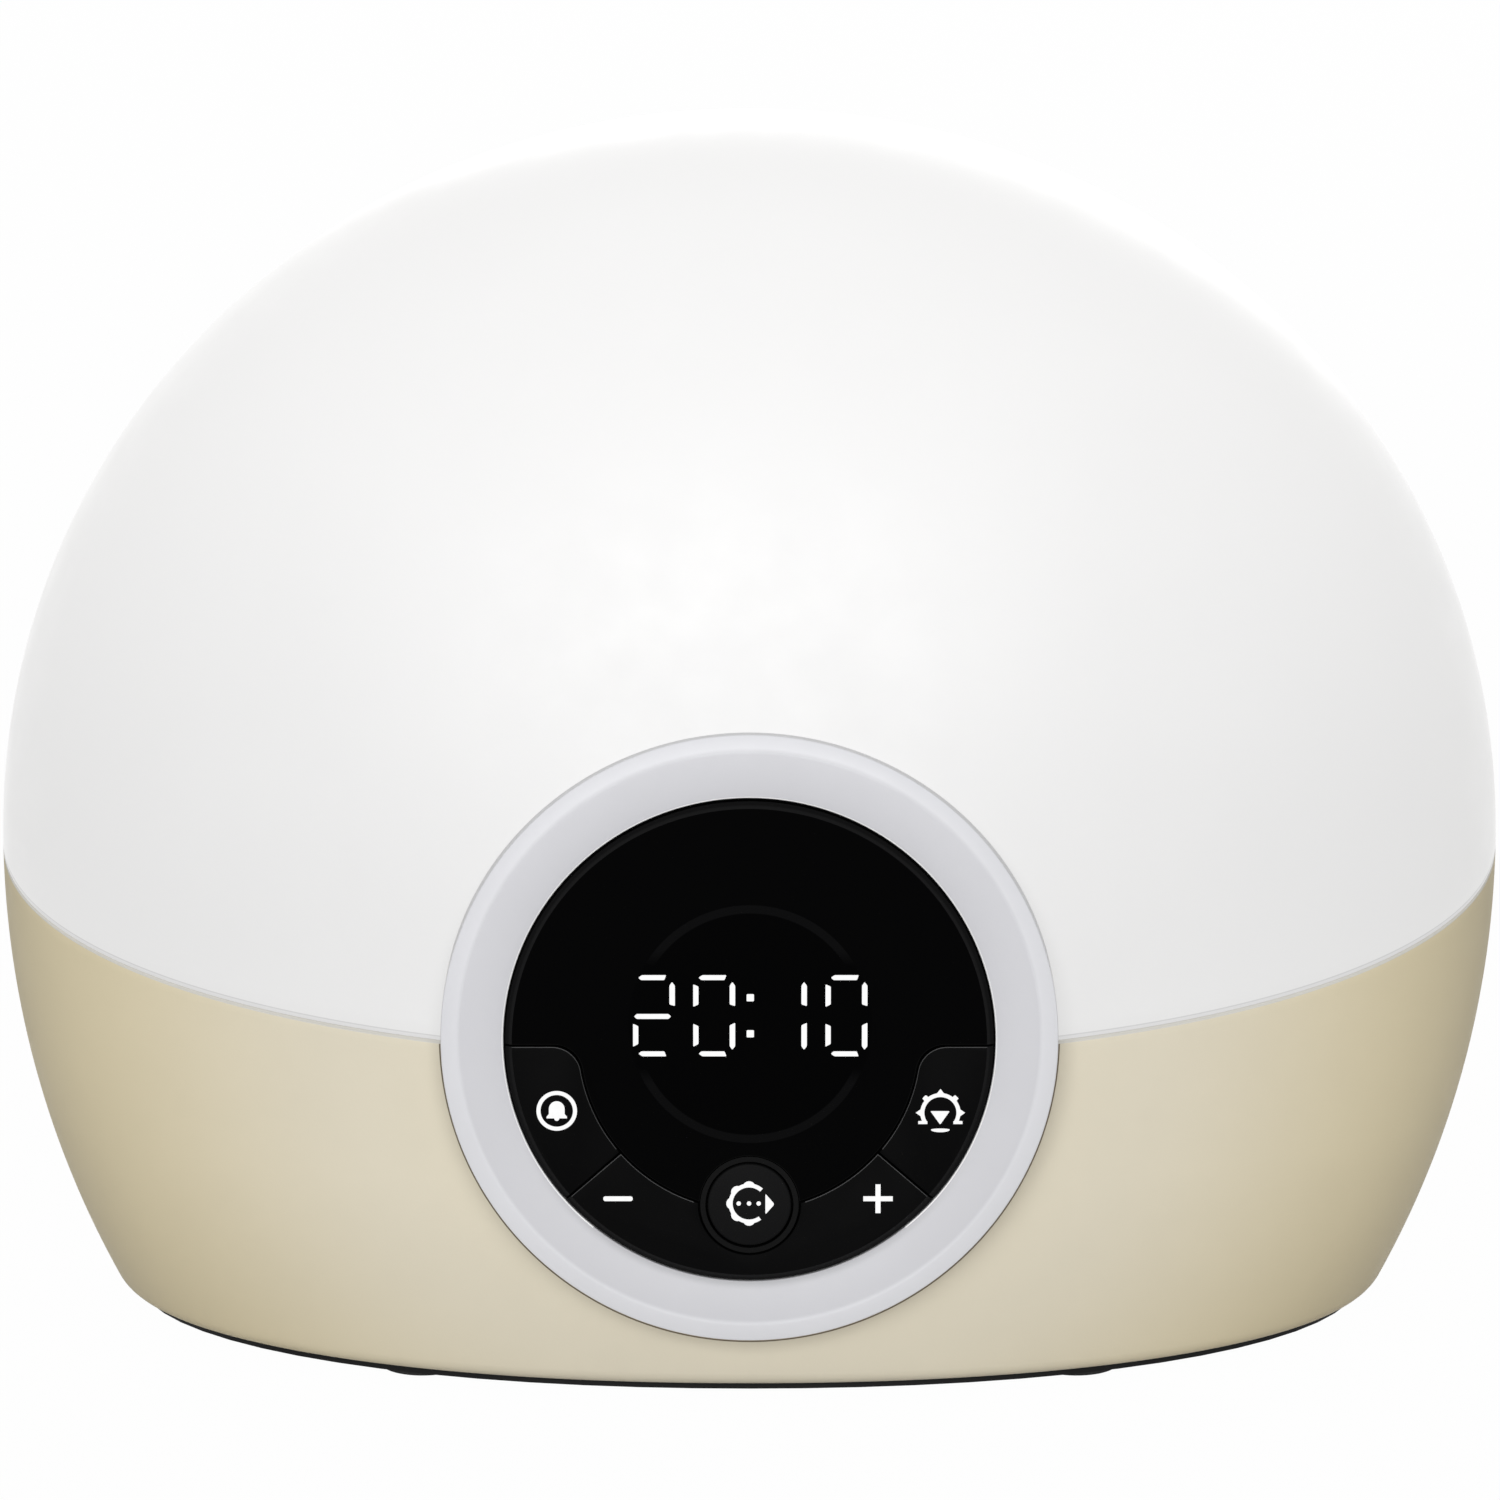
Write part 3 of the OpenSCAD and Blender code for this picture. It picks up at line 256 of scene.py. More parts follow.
def carve(target, tool, operation="DIFFERENCE", smooth=38):
    """Cuts the tool out of the target, or joins it on, and clears the tool and slivers away."""
    step = target.modifiers.new("carve", "BOOLEAN")
    step.operation = operation
    step.solver = "EXACT"
    step.object = tool
    bpy.context.view_layer.update()
    graph = bpy.context.evaluated_depsgraph_get()
    carved = bpy.data.meshes.new_from_object(target.evaluated_get(graph))
    target.modifiers.clear()
    cleaned = bmesh.new()
    cleaned.from_mesh(carved)
    bmesh.ops.dissolve_degenerate(cleaned, dist=0.000001, edges=cleaned.edges)
    cleaned.to_mesh(carved)
    cleaned.free()
    spare = target.data
    target.data = carved
    carved.name = target.name
    carved.set_sharp_from_angle(angle=math.radians(smooth))
    bpy.data.meshes.remove(spare)
    bpy.data.meshes.remove(tool.data)


def drum(radius, low, high, turns=192, at=(0, 0), bm=None):
    """A plain round post or cutter along z, alone or added to others."""
    bm = bm or bmesh.new()
    bmesh.ops.create_cone(bm, cap_ends=True, segments=turns, radius1=radius, radius2=radius,
                          depth=high - low, matrix=Matrix.Translation((*at, (low + high) / 2)))
    return bm


def math_node(made, operation, *values):
    """A sum, product or such of two values."""
    return node(made, "Math", dict(enumerate(values)), operation=operation).outputs["Value"]


def ramp(made, value, start, end, low=0.0, high=1.0, smooth=False):
    """The value's way from start to end, mapped onto low to high and held beyond them."""
    kind = {"interpolation_type": "SMOOTHSTEP"} if smooth else {}
    return node(made, "MapRange", {"Value": value, "From Min": start, "From Max": end,
                                   "To Min": low, "To Max": high}, **kind).outputs["Result"]


def length(made, vector):
    return node(made, "VectorMath", {0: vector}, operation="LENGTH").outputs["Value"]


def scaled(made, colour, by):
    return node(made, "VectorMath", {0: colour, "Scale": by}, operation="SCALE").outputs["Vector"]


def near(made, value, middle, reach):
    """1 within reach of a middle value, falling off to 0 a little beyond."""
    away = math_node(made, "ABSOLUTE", math_node(made, "SUBTRACT", value, middle))
    return ramp(made, away, reach * 1.3, reach)


def cloudy(made, colour):
    """A colour with faint clouds in its lightness."""
    return scaled(made, colour, spread(made, noise(made, 45, 4), 0.985, 1.015))


def brick(low, high):
    """A plain box between two corners."""
    bm = bmesh.new()
    low, high = Vector(low), Vector(high)
    bmesh.ops.create_cube(bm, size=1, matrix=Matrix.Translation((low + high) / 2)
                          @ Matrix.Diagonal((*(high - low), 1)))
    return bm


OUTSIDE_ROWS = 40
ROUND_ROWS = 6
INSIDE_ROWS = 16


def base_point(row, angle):
    """Down the outside, round the foot, up the inside, and over the lip to where it began."""
    if row <= OUTSIDE_ROWS:
        top = seam(angle, 0, SEAM_GAP / 2)
        return skin(angle, top + (RIM_Z + FOOT_ROUND - top) * row / OUTSIDE_ROWS)
    row -= OUTSIDE_ROWS
    if row <= ROUND_ROWS:
        turn = math.radians(90 - 90 * row / ROUND_ROWS)
        return skin(angle, RIM_Z + FOOT_ROUND * (1 - math.cos(turn)),
                    FOOT_ROUND * (1 - math.sin(turn)))
    row -= ROUND_ROWS + 1
    if row <= INSIDE_ROWS:
        top = seam(angle, BASE_WALL, TONGUE_H + SLIP)
        return skin(angle, RIM_Z + (top - RIM_Z) * row / INSIDE_ROWS, BASE_WALL)
    over_lip = ((LIP_T, TONGUE_H + SLIP), (LIP_T, SEAM_GAP / 2), (0, SEAM_GAP / 2))
    inset, drop = over_lip[row - INSIDE_ROWS - 1]
    return skin(angle, seam(angle, inset, drop), inset)


# The beige is painted paler near the panel, a painted sheen, and deepens away from it; low
# down it is darkened by painted shade. A thin dark line of painted shadow marks where the ring's
# skirt meets the base, drawn as a circle seen from in front. These sizes are in metres.
SHEEN_BEIGE = (0.715, 0.66, 0.53)
SIDE_BEIGE = (0.71, 0.625, 0.43)
BEIGE_TURNS = (0.053, 0.098)
SHADE_ENDS = (0.002, 0.031)
JOINT_SHADOW_BROWN = (0.17, 0.14, 0.10)
JOINT_R = 0.0427
JOINT_HALF = 0.00009
JOINT_UP = (0, 0.26736, 0.98551)
JOINT_MIDDLE = 0.036941
base_plastic = textured("base_plastic", 0.5, 2200, 0.000010, Specular_IOR_Level=0.05)
on_body = place(base_plastic)
split = node(base_plastic, "SeparateXYZ", {"Vector": on_body}).outputs
from_panel = node(base_plastic, "Mapping", {"Vector": on_body, "Location": (0, 0, -0.058),
                  "Scale": (1, 0, 1.1)}, vector_type="POINT").outputs["Vector"]
# Paler toward the panel: a painted sheen.
to_side = ramp(base_plastic, length(base_plastic, from_panel), *BEIGE_TURNS, smooth=True)
beige = cloudy(base_plastic, blend(base_plastic, to_side, SHEEN_BEIGE, SIDE_BEIGE))
# Painted shade low down, near the floor.
beige = scaled(base_plastic, beige, ramp(base_plastic, split["Z"], *SHADE_ENDS, low=0.89))
# The painted shadow line round the ring's skirt, on the front half only.
up_joint = node(base_plastic, "VectorMath", {0: on_body, 1: JOINT_UP}, operation="DOT_PRODUCT")
from_middle = node(base_plastic, "CombineXYZ", {"X": split["X"], "Y": math_node(
    base_plastic, "SUBTRACT", up_joint.outputs["Value"], JOINT_MIDDLE)}).outputs["Vector"]
joint_shadow = math_node(base_plastic, "MULTIPLY", ramp(base_plastic, split["Y"], 0.0, -0.01),
                  near(base_plastic, length(base_plastic, from_middle), JOINT_R, JOINT_HALF))
feed(base_plastic, "Base Color", blend(base_plastic, joint_shadow, beige, JOINT_SHADOW_BROWN))
# The lip's edge catches more light than the wall; its paler tone is a painted highlight for that
# light.
LIP_DEPTH = 0.42
lip_highlight = moulded("lip_highlight", (0.60, 0.585, 0.54), (0.64, 0.625, 0.58), 0.5)
shape = spun(OUTSIDE_ROWS + 1 + ROUND_ROWS + INSIDE_ROWS + 1 + 3, ROUND_THE_BODY, base_point)
ease(shape, 0.12, least=50)
for face in shape.faces:
    middle = face.calc_center_median()
    if middle.z > SEAM_Z - LIP_DEPTH + SEAM_SLOPE * (middle.y - BODY_Y):
        face.material_index = 1
base = piece("base_body", shape, (base_plastic, lip_highlight))

# Inside it: a socket tube with lugs behind the panel, posts with ribs for the bottom screws and
# the tray's screws, all grown from the wall.
SEAM = SIZE @ Matrix.Translation((0, BODY_Y, SEAM_Z)) @ Matrix.Rotation(SEAM_TILT, 4, "X")
LUG_BACK = -17.5
LUG_FACE = -15.5
LUG_IN = 30.3
LUG_OUT = 42.3
SOCKET_OUT = 44.4
SOCKET_IN = 33.3
SCREW_RING = 37.4
LUG_SCREWS = (200, 250, 290, 340)
LUG_BREAKS = (225, 270, 315)
BREAK_HALF = 9
BOTTOM_POSTS = ((64, -26 + BODY_Y), (64, 26 + BODY_Y))
TRAY_POSTS = ((86, -22), (68, 33))
RIB_OUT = 108
CORE_DROP = 5
CORE_ROWS = 12


def core_point(row, angle):
    """The solid inside the middle of the wall, from the lowered seam to the rim."""
    if row in (0, CORE_ROWS + 2):
        return Vector((0, BODY_Y, SEAM_Z - CORE_DROP if row == 0 else RIM_Z))
    top = seam(angle, BASE_WALL / 2, CORE_DROP)
    return skin(angle, top + (RIM_Z - top) * (row - 1) / CORE_ROWS, BASE_WALL / 2)


def polar(radius, angle):
    return (radius * math.cos(math.radians(angle)), radius * math.sin(math.radians(angle)))


frame_parts = piece("base_frame", drum(SOCKET_OUT, LUG_BACK, 0), base_plastic, PANEL)
for angle in LUG_BREAKS:
    lug_break = brick((LUG_IN, -BREAK_HALF, LUG_BACK - 1), (LUG_OUT, BREAK_HALF, LUG_FACE + 1))
    bmesh.ops.rotate(lug_break, verts=lug_break.verts, cent=(0, 0, 0),
                     matrix=Matrix.Rotation(math.radians(angle), 3, "Z"))
    carve(frame_parts, piece("lug_break", lug_break, base_plastic, PANEL))
carve(frame_parts, piece("inside", drum(SOCKET_IN, LUG_BACK - 1, -3), base_plastic, PANEL))


def post(at, radius, low, high, rib_low, rib_high, seat=SIZE):
    """A post for a screw, and the rib that ties it to the wall beside it."""
    carve(frame_parts, piece("post", drum(radius, low, high, 48, at), base_plastic, seat), "UNION")
    wall = math.copysign(RIB_OUT, at[0])
    rib = brick((min(at[0], wall), at[1] - 1, rib_low), (max(at[0], wall), at[1] + 1, rib_high))
    carve(frame_parts, piece("rib", rib, base_plastic, seat), "UNION")


for side in (-1, 1):
    for at in BOTTOM_POSTS:
        post((side * at[0], at[1]), 3.6, low=3.4, high=27.4, rib_low=3.4, rib_high=21.4)
    for at in TRAY_POSTS:
        post((side * at[0], at[1]), 3.5, low=-24.6, high=-6.6, rib_low=-24.3, rib_high=-8.6,
             seat=SEAM)
core = spun(CORE_ROWS + 3, ROUND_THE_BODY // 2, core_point)
carve(frame_parts, piece("core", core, base_plastic), "INTERSECT")
carve(base, frame_parts, "UNION")

# Its holes: the panel's bore, the screw holes, the pockets for the dome's hooks and the hole for
# the power inlet.
HOOK_ANGLES = (90, 22, 158, 216, 324)
HOOK_POCKET = ((-3.4, -4.3, -7.8), (-1.7, 4.3, -5.1))
NEAR_SEAM = 8
JACK_AT = (0, 62, 20.1)
JACK_BORE_R = 4.3


def at_hook(angle):
    """Seat of a hook: on the seam, x out through the wall and z up along it."""
    angle = math.radians(angle)
    on_seam = skin(angle, seam(angle))
    x, y = plan(angle)
    turn = math.atan2(math.copysign(abs(y) ** (PLAN_FULL - 1), y) / HALF_DEPTH,
                      math.copysign(abs(x) ** (PLAN_FULL - 1), x) / HALF_WIDTH)
    fall = on_seam - skin(angle, on_seam.z - NEAR_SEAM)
    lean = math.atan((fall.x * math.cos(turn) + fall.y * math.sin(turn)) / NEAR_SEAM)
    return (SIZE @ Matrix.Translation(on_seam) @ Matrix.Rotation(turn, 4, "Z")
            @ Matrix.Rotation(lean, 4, "Y"))


def holes(name, radius, low, high, places, seat=SIZE):
    """Screw holes of one size, cut into the base."""
    cutter = bmesh.new()
    for at in places:
        drum(radius, low, high, 32, at, cutter)
    carve(base, piece(name, cutter, base_plastic, seat))


def both_sides(places):
    return [(side * x, y) for side in (-1, 1) for x, y in places]


carve(base, piece("panel_bore", drum(BORE_R, LUG_FACE, 20), base_plastic, PANEL))
holes("ring_screw_holes", 1.6, low=LUG_BACK - 1, high=-14,
      places=[polar(SCREW_RING, angle) for angle in LUG_SCREWS], seat=PANEL)
holes("bottom_screw_holes", 1.45, low=2.4, high=23.4, places=both_sides(BOTTOM_POSTS))
holes("tray_screw_holes", 1.15, low=-18.6, high=-4.6, places=both_sides(TRAY_POSTS), seat=SEAM)
for angle in HOOK_ANGLES:
    carve(base, piece("hook_pocket", brick(*HOOK_POCKET), base_plastic, at_hook(angle)))
at_jack = SIZE @ Matrix.Translation(JACK_AT) @ Matrix.Rotation(math.radians(90), 4, "X")
carve(base, piece("jack_bore", drum(JACK_BORE_R, -5, 12, 96), base_plastic, at_jack))
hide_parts("base_shell")
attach(base, "root")

# Main circuit board: green glass-fibre laminate with solder mask over copper tracks, on four
# pillars. The control board behind the keys is the same laminate.
circuit_board = paint("circuit_board", Roughness=0.35)
tracks = node(circuit_board, "TexBrick", {"Vector": place(circuit_board), "Scale": 260.0,
              "Mortar Size": 0.03, "Color1": (0.010, 0.085, 0.035, 1),
              "Color2": (0.012, 0.105, 0.045, 1), "Mortar": (0.03, 0.17, 0.07, 1)})
feed(circuit_board, "Base Color", tracks.outputs["Color"])
grain(circuit_board, tracks.outputs["Fac"], 0.00003)
dress(circuit_board, "main_board", "control_board")

# Power inlet: black barrel jack on the main board, its nose in the hole at the back, with a
# turned brass pin inside.
jack_plastic = moulded("jack_plastic", (0.012, 0.012, 0.013), (0.018, 0.018, 0.019), 0.38)
dress(jack_plastic, "dc_jack")
jack_brass = mottled("jack_brass", (0.72, 0.62, 0.42), (0.80, 0.72, 0.52), (1500, 4), (3000, 3),
                     (0.18, 0.32), Metallic=1.0)
dress(jack_brass, "jack_pin")

# Parts on and by the boards: sleeved capacitors, a copper choke, epoxy chips, the sockets of the
# two cables, and the alarm's black sounder.
capacitor_sleeve = moulded("capacitor_sleeve", (0.020, 0.022, 0.075), (0.026, 0.028, 0.09), 0.3)
dress(capacitor_sleeve, "filter_capacitors")
choke_copper = paint("choke_copper", Metallic=0.9, Roughness=0.35)
windings = node(choke_copper, "TexWave", {"Vector": place(choke_copper), "Scale": 700.0,
                "Distortion": 1.2}, bands_direction="Z")
tint(choke_copper, windings.outputs["Fac"], (0.30, 0.10, 0.04), (0.62, 0.28, 0.13))
grain(choke_copper, windings.outputs["Fac"], 0.00008)
dress(choke_copper, "choke_coil")
chip_epoxy = moulded("chip_epoxy", (0.010, 0.010, 0.011), (0.016, 0.016, 0.017), 0.6, 3500,
                     0.00002)
dress(chip_epoxy, "controller_chip", "driver_chip")
socket_plastic = moulded("socket_plastic", (0.74, 0.71, 0.63), (0.80, 0.77, 0.69), 0.42)
dress(socket_plastic, "ribbon_sockets", "led_lead_sockets")
sounder_plastic = moulded("sounder_plastic", (0.012, 0.012, 0.012), (0.020, 0.020, 0.020), 0.35)
dress(sounder_plastic, "sounder")

# Cables inside: a grey flat ribbon with fine ribs from the main board to the control board, and a
# red lead of two wires up to the LED board.
cable_jacket = paint("cable_jacket")
ribs = node(cable_jacket, "TexWave", {"Vector": place(cable_jacket), "Scale": 320.0},
            bands_direction="X")
tint(cable_jacket, ribs.outputs["Fac"], (0.40, 0.41, 0.43), (0.58, 0.59, 0.61))
feed(cable_jacket, "Roughness", spread(cable_jacket, noise(cable_jacket, 400), 0.45, 0.6))
grain(cable_jacket, ribs.outputs["Fac"], 0.0001)
dress(cable_jacket, "ribbon_cable")
lead_jacket = moulded("lead_jacket", (0.42, 0.020, 0.014), (0.52, 0.030, 0.020), 0.4)
dress(lead_jacket, "led_lead")

# Reflector tray and panel cover: moulded in bright white styrene, satin with faint flow marks.
# The tray carries the LED board under the dome, and the cover closes the panel from behind.
white_plastic = moulded("white_plastic", (0.80, 0.80, 0.79), (0.86, 0.86, 0.85), 0.45)
dress(white_plastic, "reflector_tray", "panel_cover")

# LED board: white solder mask on aluminium, two rows of LEDs with yellow phosphor, and a finned
# heat sink extruded from aluminium with die lines along its fins.
led_white_board = mottled("led_white_board", (0.78, 0.79, 0.80), (0.86, 0.87, 0.87), (500, 4),
                          (900, 3), (0.3, 0.42))
grain(led_white_board, noise(led_white_board, 2600), 0.00001)
dress(led_white_board, "led_board")
led_phosphor = mottled("led_phosphor", (0.86, 0.62, 0.16), (0.94, 0.76, 0.26), (2000, 4),
                       (1600, 3), (0.35, 0.5), Emission_Color=(1.0, 0.93, 0.80, 1),
                       Emission_Strength=1.5)
dress(led_phosphor, "leds")
sink_aluminium = mottled("sink_aluminium", (0.62, 0.63, 0.64), (0.74, 0.75, 0.76), (500, 4),
                         (1500, 3), (0.3, 0.48), Metallic=1.0)
grain(sink_aluminium, noise(sink_aluminium, 1800, 2, (1, 0.05, 1)), 0.00003)
dress(sink_aluminium, "heat_sink")

# Diffuser dome: one opal moulding over the whole top, with a tongue inside the base's lip and
# hooks that snap into the base. The LEDs make it glow, a little weaker down by the seam.
DOME_WALL = 2.2
DOME_ROWS = 80
LINING_ROWS = 40
HOOK_HALF = 4
GLOW = (0.515, 0.655)
GLOW_RISES = (0.06, 0.17)
BAND_TOP = (0.00072, 0.00082)
BAND_EDGE = (0.00018, 0.00022)
LINE_HALF = 0.00007


def raised(bm, way):
    """Thickens the flat faces of a mesh along a way, into closed solids."""
    lifted = bmesh.ops.extrude_face_region(bm, geom=bm.faces[:])
    moved = [g for g in lifted["geom"] if isinstance(g, bmesh.types.BMVert)]
    bmesh.ops.translate(bm, verts=moved, vec=way)
    bmesh.ops.recalc_face_normals(bm, faces=bm.faces)
    return bm


def dome_level(angle, inset, drop, share):
    """A level the given share of the way from the lowered seam up to the top, by latitude."""
    low = seam(angle, inset, drop)
    tall = DOME_H - inset
    lowest = (math.asin((low - WIDEST_Z) / tall) if low >= WIDEST_Z
              else -math.asin((WIDEST_Z - low) / SIDE_BOW))
    lat = lowest + (math.pi / 2 - lowest) * share
    z = WIDEST_Z + (tall if lat >= 0 else SIDE_BOW) * math.sin(lat)
    return skin(angle, min(z, WIDEST_Z + tall), inset)


def dome_point(row, angle):
    """Down the outside from the top, in and down the tongue, and up the inside."""
    if row <= DOME_ROWS:
        return dome_level(angle, 0, -SEAM_GAP / 2, 1 - row / DOME_ROWS)
    row -= DOME_ROWS
    if row <= 2:
        drop = -SEAM_GAP / 2 if row == 1 else TONGUE_H
        return skin(angle, seam(angle, LIP_T + SLIP, drop), LIP_T + SLIP)
    return dome_level(angle, DOME_WALL, TONGUE_H, (row - 3) / LINING_ROWS)


def in_frame(made, at, tilt):
    """Coordinates in a frame at a place in millimetres, tilted about x."""
    seen_from = {"Vector": place(made), "Location": [c * 0.001 for c in at],
                 "Rotation": (tilt, 0, 0)}
    return node(made, "Mapping", seen_from, vector_type="TEXTURE").outputs["Vector"]


opal = mottled("opal_dome", (0.25, 0.25, 0.253), (0.262, 0.262, 0.265), (30, 3), (120, 4),
               (0.40, 0.50), Emission_Color=(1.0, 0.995, 0.985, 1))
grain(opal, noise(opal, 2400, 2), 0.000006)
height = node(opal, "SeparateXYZ", {"Vector": place(opal)}).outputs["Z"]
glow = ramp(opal, height, *GLOW_RISES, *GLOW, smooth=True)
# Along the seam the glow carries painted light and shade: a dimmer band of painted shade, a
# painted bright lower edge, and a fine dark line of painted shadow on top.
on_seam = in_frame(opal, (0, BODY_Y, SEAM_Z), SEAM_TILT)
above = node(opal, "SeparateXYZ", {"Vector": on_seam}).outputs["Z"]
rim = math_node(opal, "SUBTRACT", ramp(opal, above, *BAND_TOP, low=0.87),
                ramp(opal, above, *BAND_EDGE, low=-0.32, high=0.0))
line = math_node(opal, "MULTIPLY", near(opal, above, 0.00078, LINE_HALF), 0.24)
feed(opal, "Emission Strength",
     math_node(opal, "MULTIPLY", glow, math_node(opal, "SUBTRACT", rim, line)))
shape = spun(DOME_ROWS + 1 + 2 + LINING_ROWS + 1, ROUND_THE_BODY, dome_point)
ease(shape, 0.12, least=50)
dome = piece("opal_shell", shape, opal)
hook = [(-1.8, 3), (-1.8, -0.8), (-3.1, -0.8), (-3.1, -5.4), (-2, -6), (-2, -6.6), (-3.3, -8),
        (-4.2, -8), (-4.2, 3)]
for angle in HOOK_ANGLES:
    bm = bmesh.new()
    bm.faces.new([bm.verts.new((x, -HOOK_HALF, z)) for x, z in hook])
    raised(bm, (0, 2 * HOOK_HALF, 0))
    carve(dome, piece("hook", bm, opal, at_hook(angle)), "UNION")
carve(dome, piece("dome_bore", drum(BORE_R, -30, 20), opal, PANEL))
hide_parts("diffuser_dome")
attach(dome, "root")

# Panel ring: light grey moulding with a flat face, a sloping shoulder and a deep skirt. Screws
# from the socket's lugs and from the control board go into the bosses behind its face.
DISC_R = 33.4
RING_HOLE_R = 33.7
FACE_R = 40.0
RING_R = 42.35
SHOULDER_Z = -0.75
SKIRT_IN = 40.5
RING_BACK = -14
FACE_BACK = -2
BOSS_R = 2.6
BOARD_SCREWS = (45, 135, 225, 315)
FACE_GREY = (0.57, 0.57, 0.597)
SHOULDER_GREY = (0.695, 0.697, 0.725)
DISC_SHADOW_GREY = (0.1, 0.1, 0.1)
SHADE_BEGINS = (-0.012, -0.036)
SHADE_REACH = (0.0351, 0.0338)
SHOULDER_TURN = (0.0396, 0.0403)
ring_profile = [(RING_HOLE_R, 0), (FACE_R, 0), (RING_R, SHOULDER_Z), (RING_R, RING_BACK),
                (SKIRT_IN, RING_BACK), (SKIRT_IN, FACE_BACK), (RING_HOLE_R, FACE_BACK),
                (RING_HOLE_R, 0)]


def off_axis(made):
    """The place on the panel: a flat vector from its axis, and how far up the face, in metres."""
    split = node(made, "SeparateXYZ", {"Vector": in_frame(made, PANEL_AT, PANEL_TILT)}).outputs
    flat = node(made, "CombineXYZ", {"X": split["X"], "Y": split["Y"]})
    return flat.outputs["Vector"], split["Y"]


ring_plastic = moulded("ring_plastic", (0.67, 0.67, 0.68), (0.69, 0.69, 0.70), 0.4,
                       2600, 0.000006)
# The hole's edge is painted bright, a painted highlight where it catches the light.
hole_edge_highlight = moulded("hole_edge_highlight", (0.86, 0.86, 0.86), (0.90, 0.90, 0.90), 0.3, 3000, 0.000004)
# Low down beside the disc the face carries a painted shadow of the disc, and it pales where it
# turns into the shoulder.
ring_paint = textured("ring_paint", 0.42, 3000, 0.000005)
flat, up_face = off_axis(ring_paint)
from_above = node(ring_paint, "VectorMath", {0: flat, 1: (0, 0.0004, 0)}, operation="DISTANCE")
onto_shoulder = ramp(ring_paint, from_above.outputs["Value"], *SHOULDER_TURN, smooth=True)
lower = ramp(ring_paint, up_face, *SHADE_BEGINS, high=0.34, smooth=True)
by_disc = ramp(ring_paint, length(ring_paint, flat), *SHADE_REACH, smooth=True)
shade = math_node(ring_paint, "MULTIPLY", lower, by_disc)
greys = blend(ring_paint, onto_shoulder, blend(ring_paint, shade, FACE_GREY, DISC_SHADOW_GREY),
              SHOULDER_GREY)
feed(ring_paint, "Base Color", cloudy(ring_paint, greys))


def ring_point(row, angle):
    radius, height = ring_profile[row]
    return Vector((radius * math.cos(angle), radius * math.sin(angle), height))


shape = spun(len(ring_profile), 256, ring_point)
ease(shape, 0.22, least=10, steps=3)
# The face and the shoulder take the paint, and the hole's edge a painted highlight except low
# down.
for face in shape.faces:
    middle = face.calc_center_median()
    if middle.z > SHOULDER_Z - 0.15 and middle.xy.length > RING_HOLE_R + 0.2:
        face.material_index = 1
    elif middle.z > -0.3:
        face.material_index = 2 if middle.y > -26 else 1
ring = piece("panel_ring", shape, (ring_plastic, ring_paint, hole_edge_highlight), PANEL, 20)
bosses, pilots = bmesh.new(), bmesh.new()
for angles, end, hole in ((BOARD_SCREWS, -9, 1.15), (LUG_SCREWS, RING_BACK, 1.35)):
    for angle in angles:
        drum(BOSS_R, end, -1.5, 32, polar(SCREW_RING, angle), bosses)
        drum(hole, end - 1, -3, 24, polar(SCREW_RING, angle), pilots)
carve(ring, piece("bosses", bosses, ring_plastic, PANEL), "UNION", 20)
carve(ring, piece("pilots", pilots, ring_plastic, PANEL), "DIFFERENCE", 20)
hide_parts("bezel_ring")
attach(ring, "root")

# Display window: smoked acrylic with a polished face, the upper part of the black disc. Its
# lower edge bulges between the keys, and an unlit light circle shows faintly through it.
DISC_PROUD = 1.499
DISC_BEVEL = 0.9
ARC_R = 23.25
ARC_V = -0.1
KEY_TOP = -0.4
KEY_ROUND = 4.0
SPLIT = math.radians(41)
CENTRE = Vector((0, -22.65))
COLLAR_R = 6.75
BY_COLLAR_R = COLLAR_R + 0.1
KEY_GAP = 0.3
WINDOW_THICK = 2.2
LIGHT_AT = (0.00008, 0.0026, 0)
LIGHT_R = 0.016


def arc(centre, radius, start, end, step=1.5):
    """Points along an arc, angles in degrees."""
    count = max(2, math.ceil(abs(end - start) / step))
    return [(centre[0] + radius * math.cos(math.radians(start + (end - start) * i / count)),
             centre[1] + radius * math.sin(math.radians(start + (end - start) * i / count)))
            for i in range(count + 1)]


def meet(c1, r1, c2, r2):
    """The left one of the two points where a circle meets another below it."""
    c1, c2 = Vector(c1), Vector(c2)
    across = c2 - c1
    along = (r1 * r1 - r2 * r2 + across.length_squared) / (2 * across.length)
    half = math.sqrt(r1 * r1 - along * along)
    unit = across.normalized()
    return c1 + unit * along - Vector((-unit.y, unit.x)) * half


def bearing(centre, point):
    return math.degrees(math.atan2(point[1] - centre[1], point[0] - centre[0]))


def plates(outlines, low, high, corner=0.0, steps=3):
    """Flat plates between two depths of the panel, their corners rounded by a radius."""
    bm = bmesh.new()
    for outline in outlines:
        bm.faces.new([bm.verts.new((u, v, low)) for u, v in outline])
    if corner:
        bmesh.ops.bevel(bm, geom=bm.verts[:], offset=corner, offset_type="OFFSET", segments=steps,
                        profile=0.5, affect="VERTICES", clamp_overlap=True, material=-1)
    return raised(bm, (0, 0, high - low))


def at_rim(vert):
    return abs(vert.co.xy.length - DISC_R) < 0.01


def higher(edge, low):
    return all(v.co.z > low for v in edge.verts)


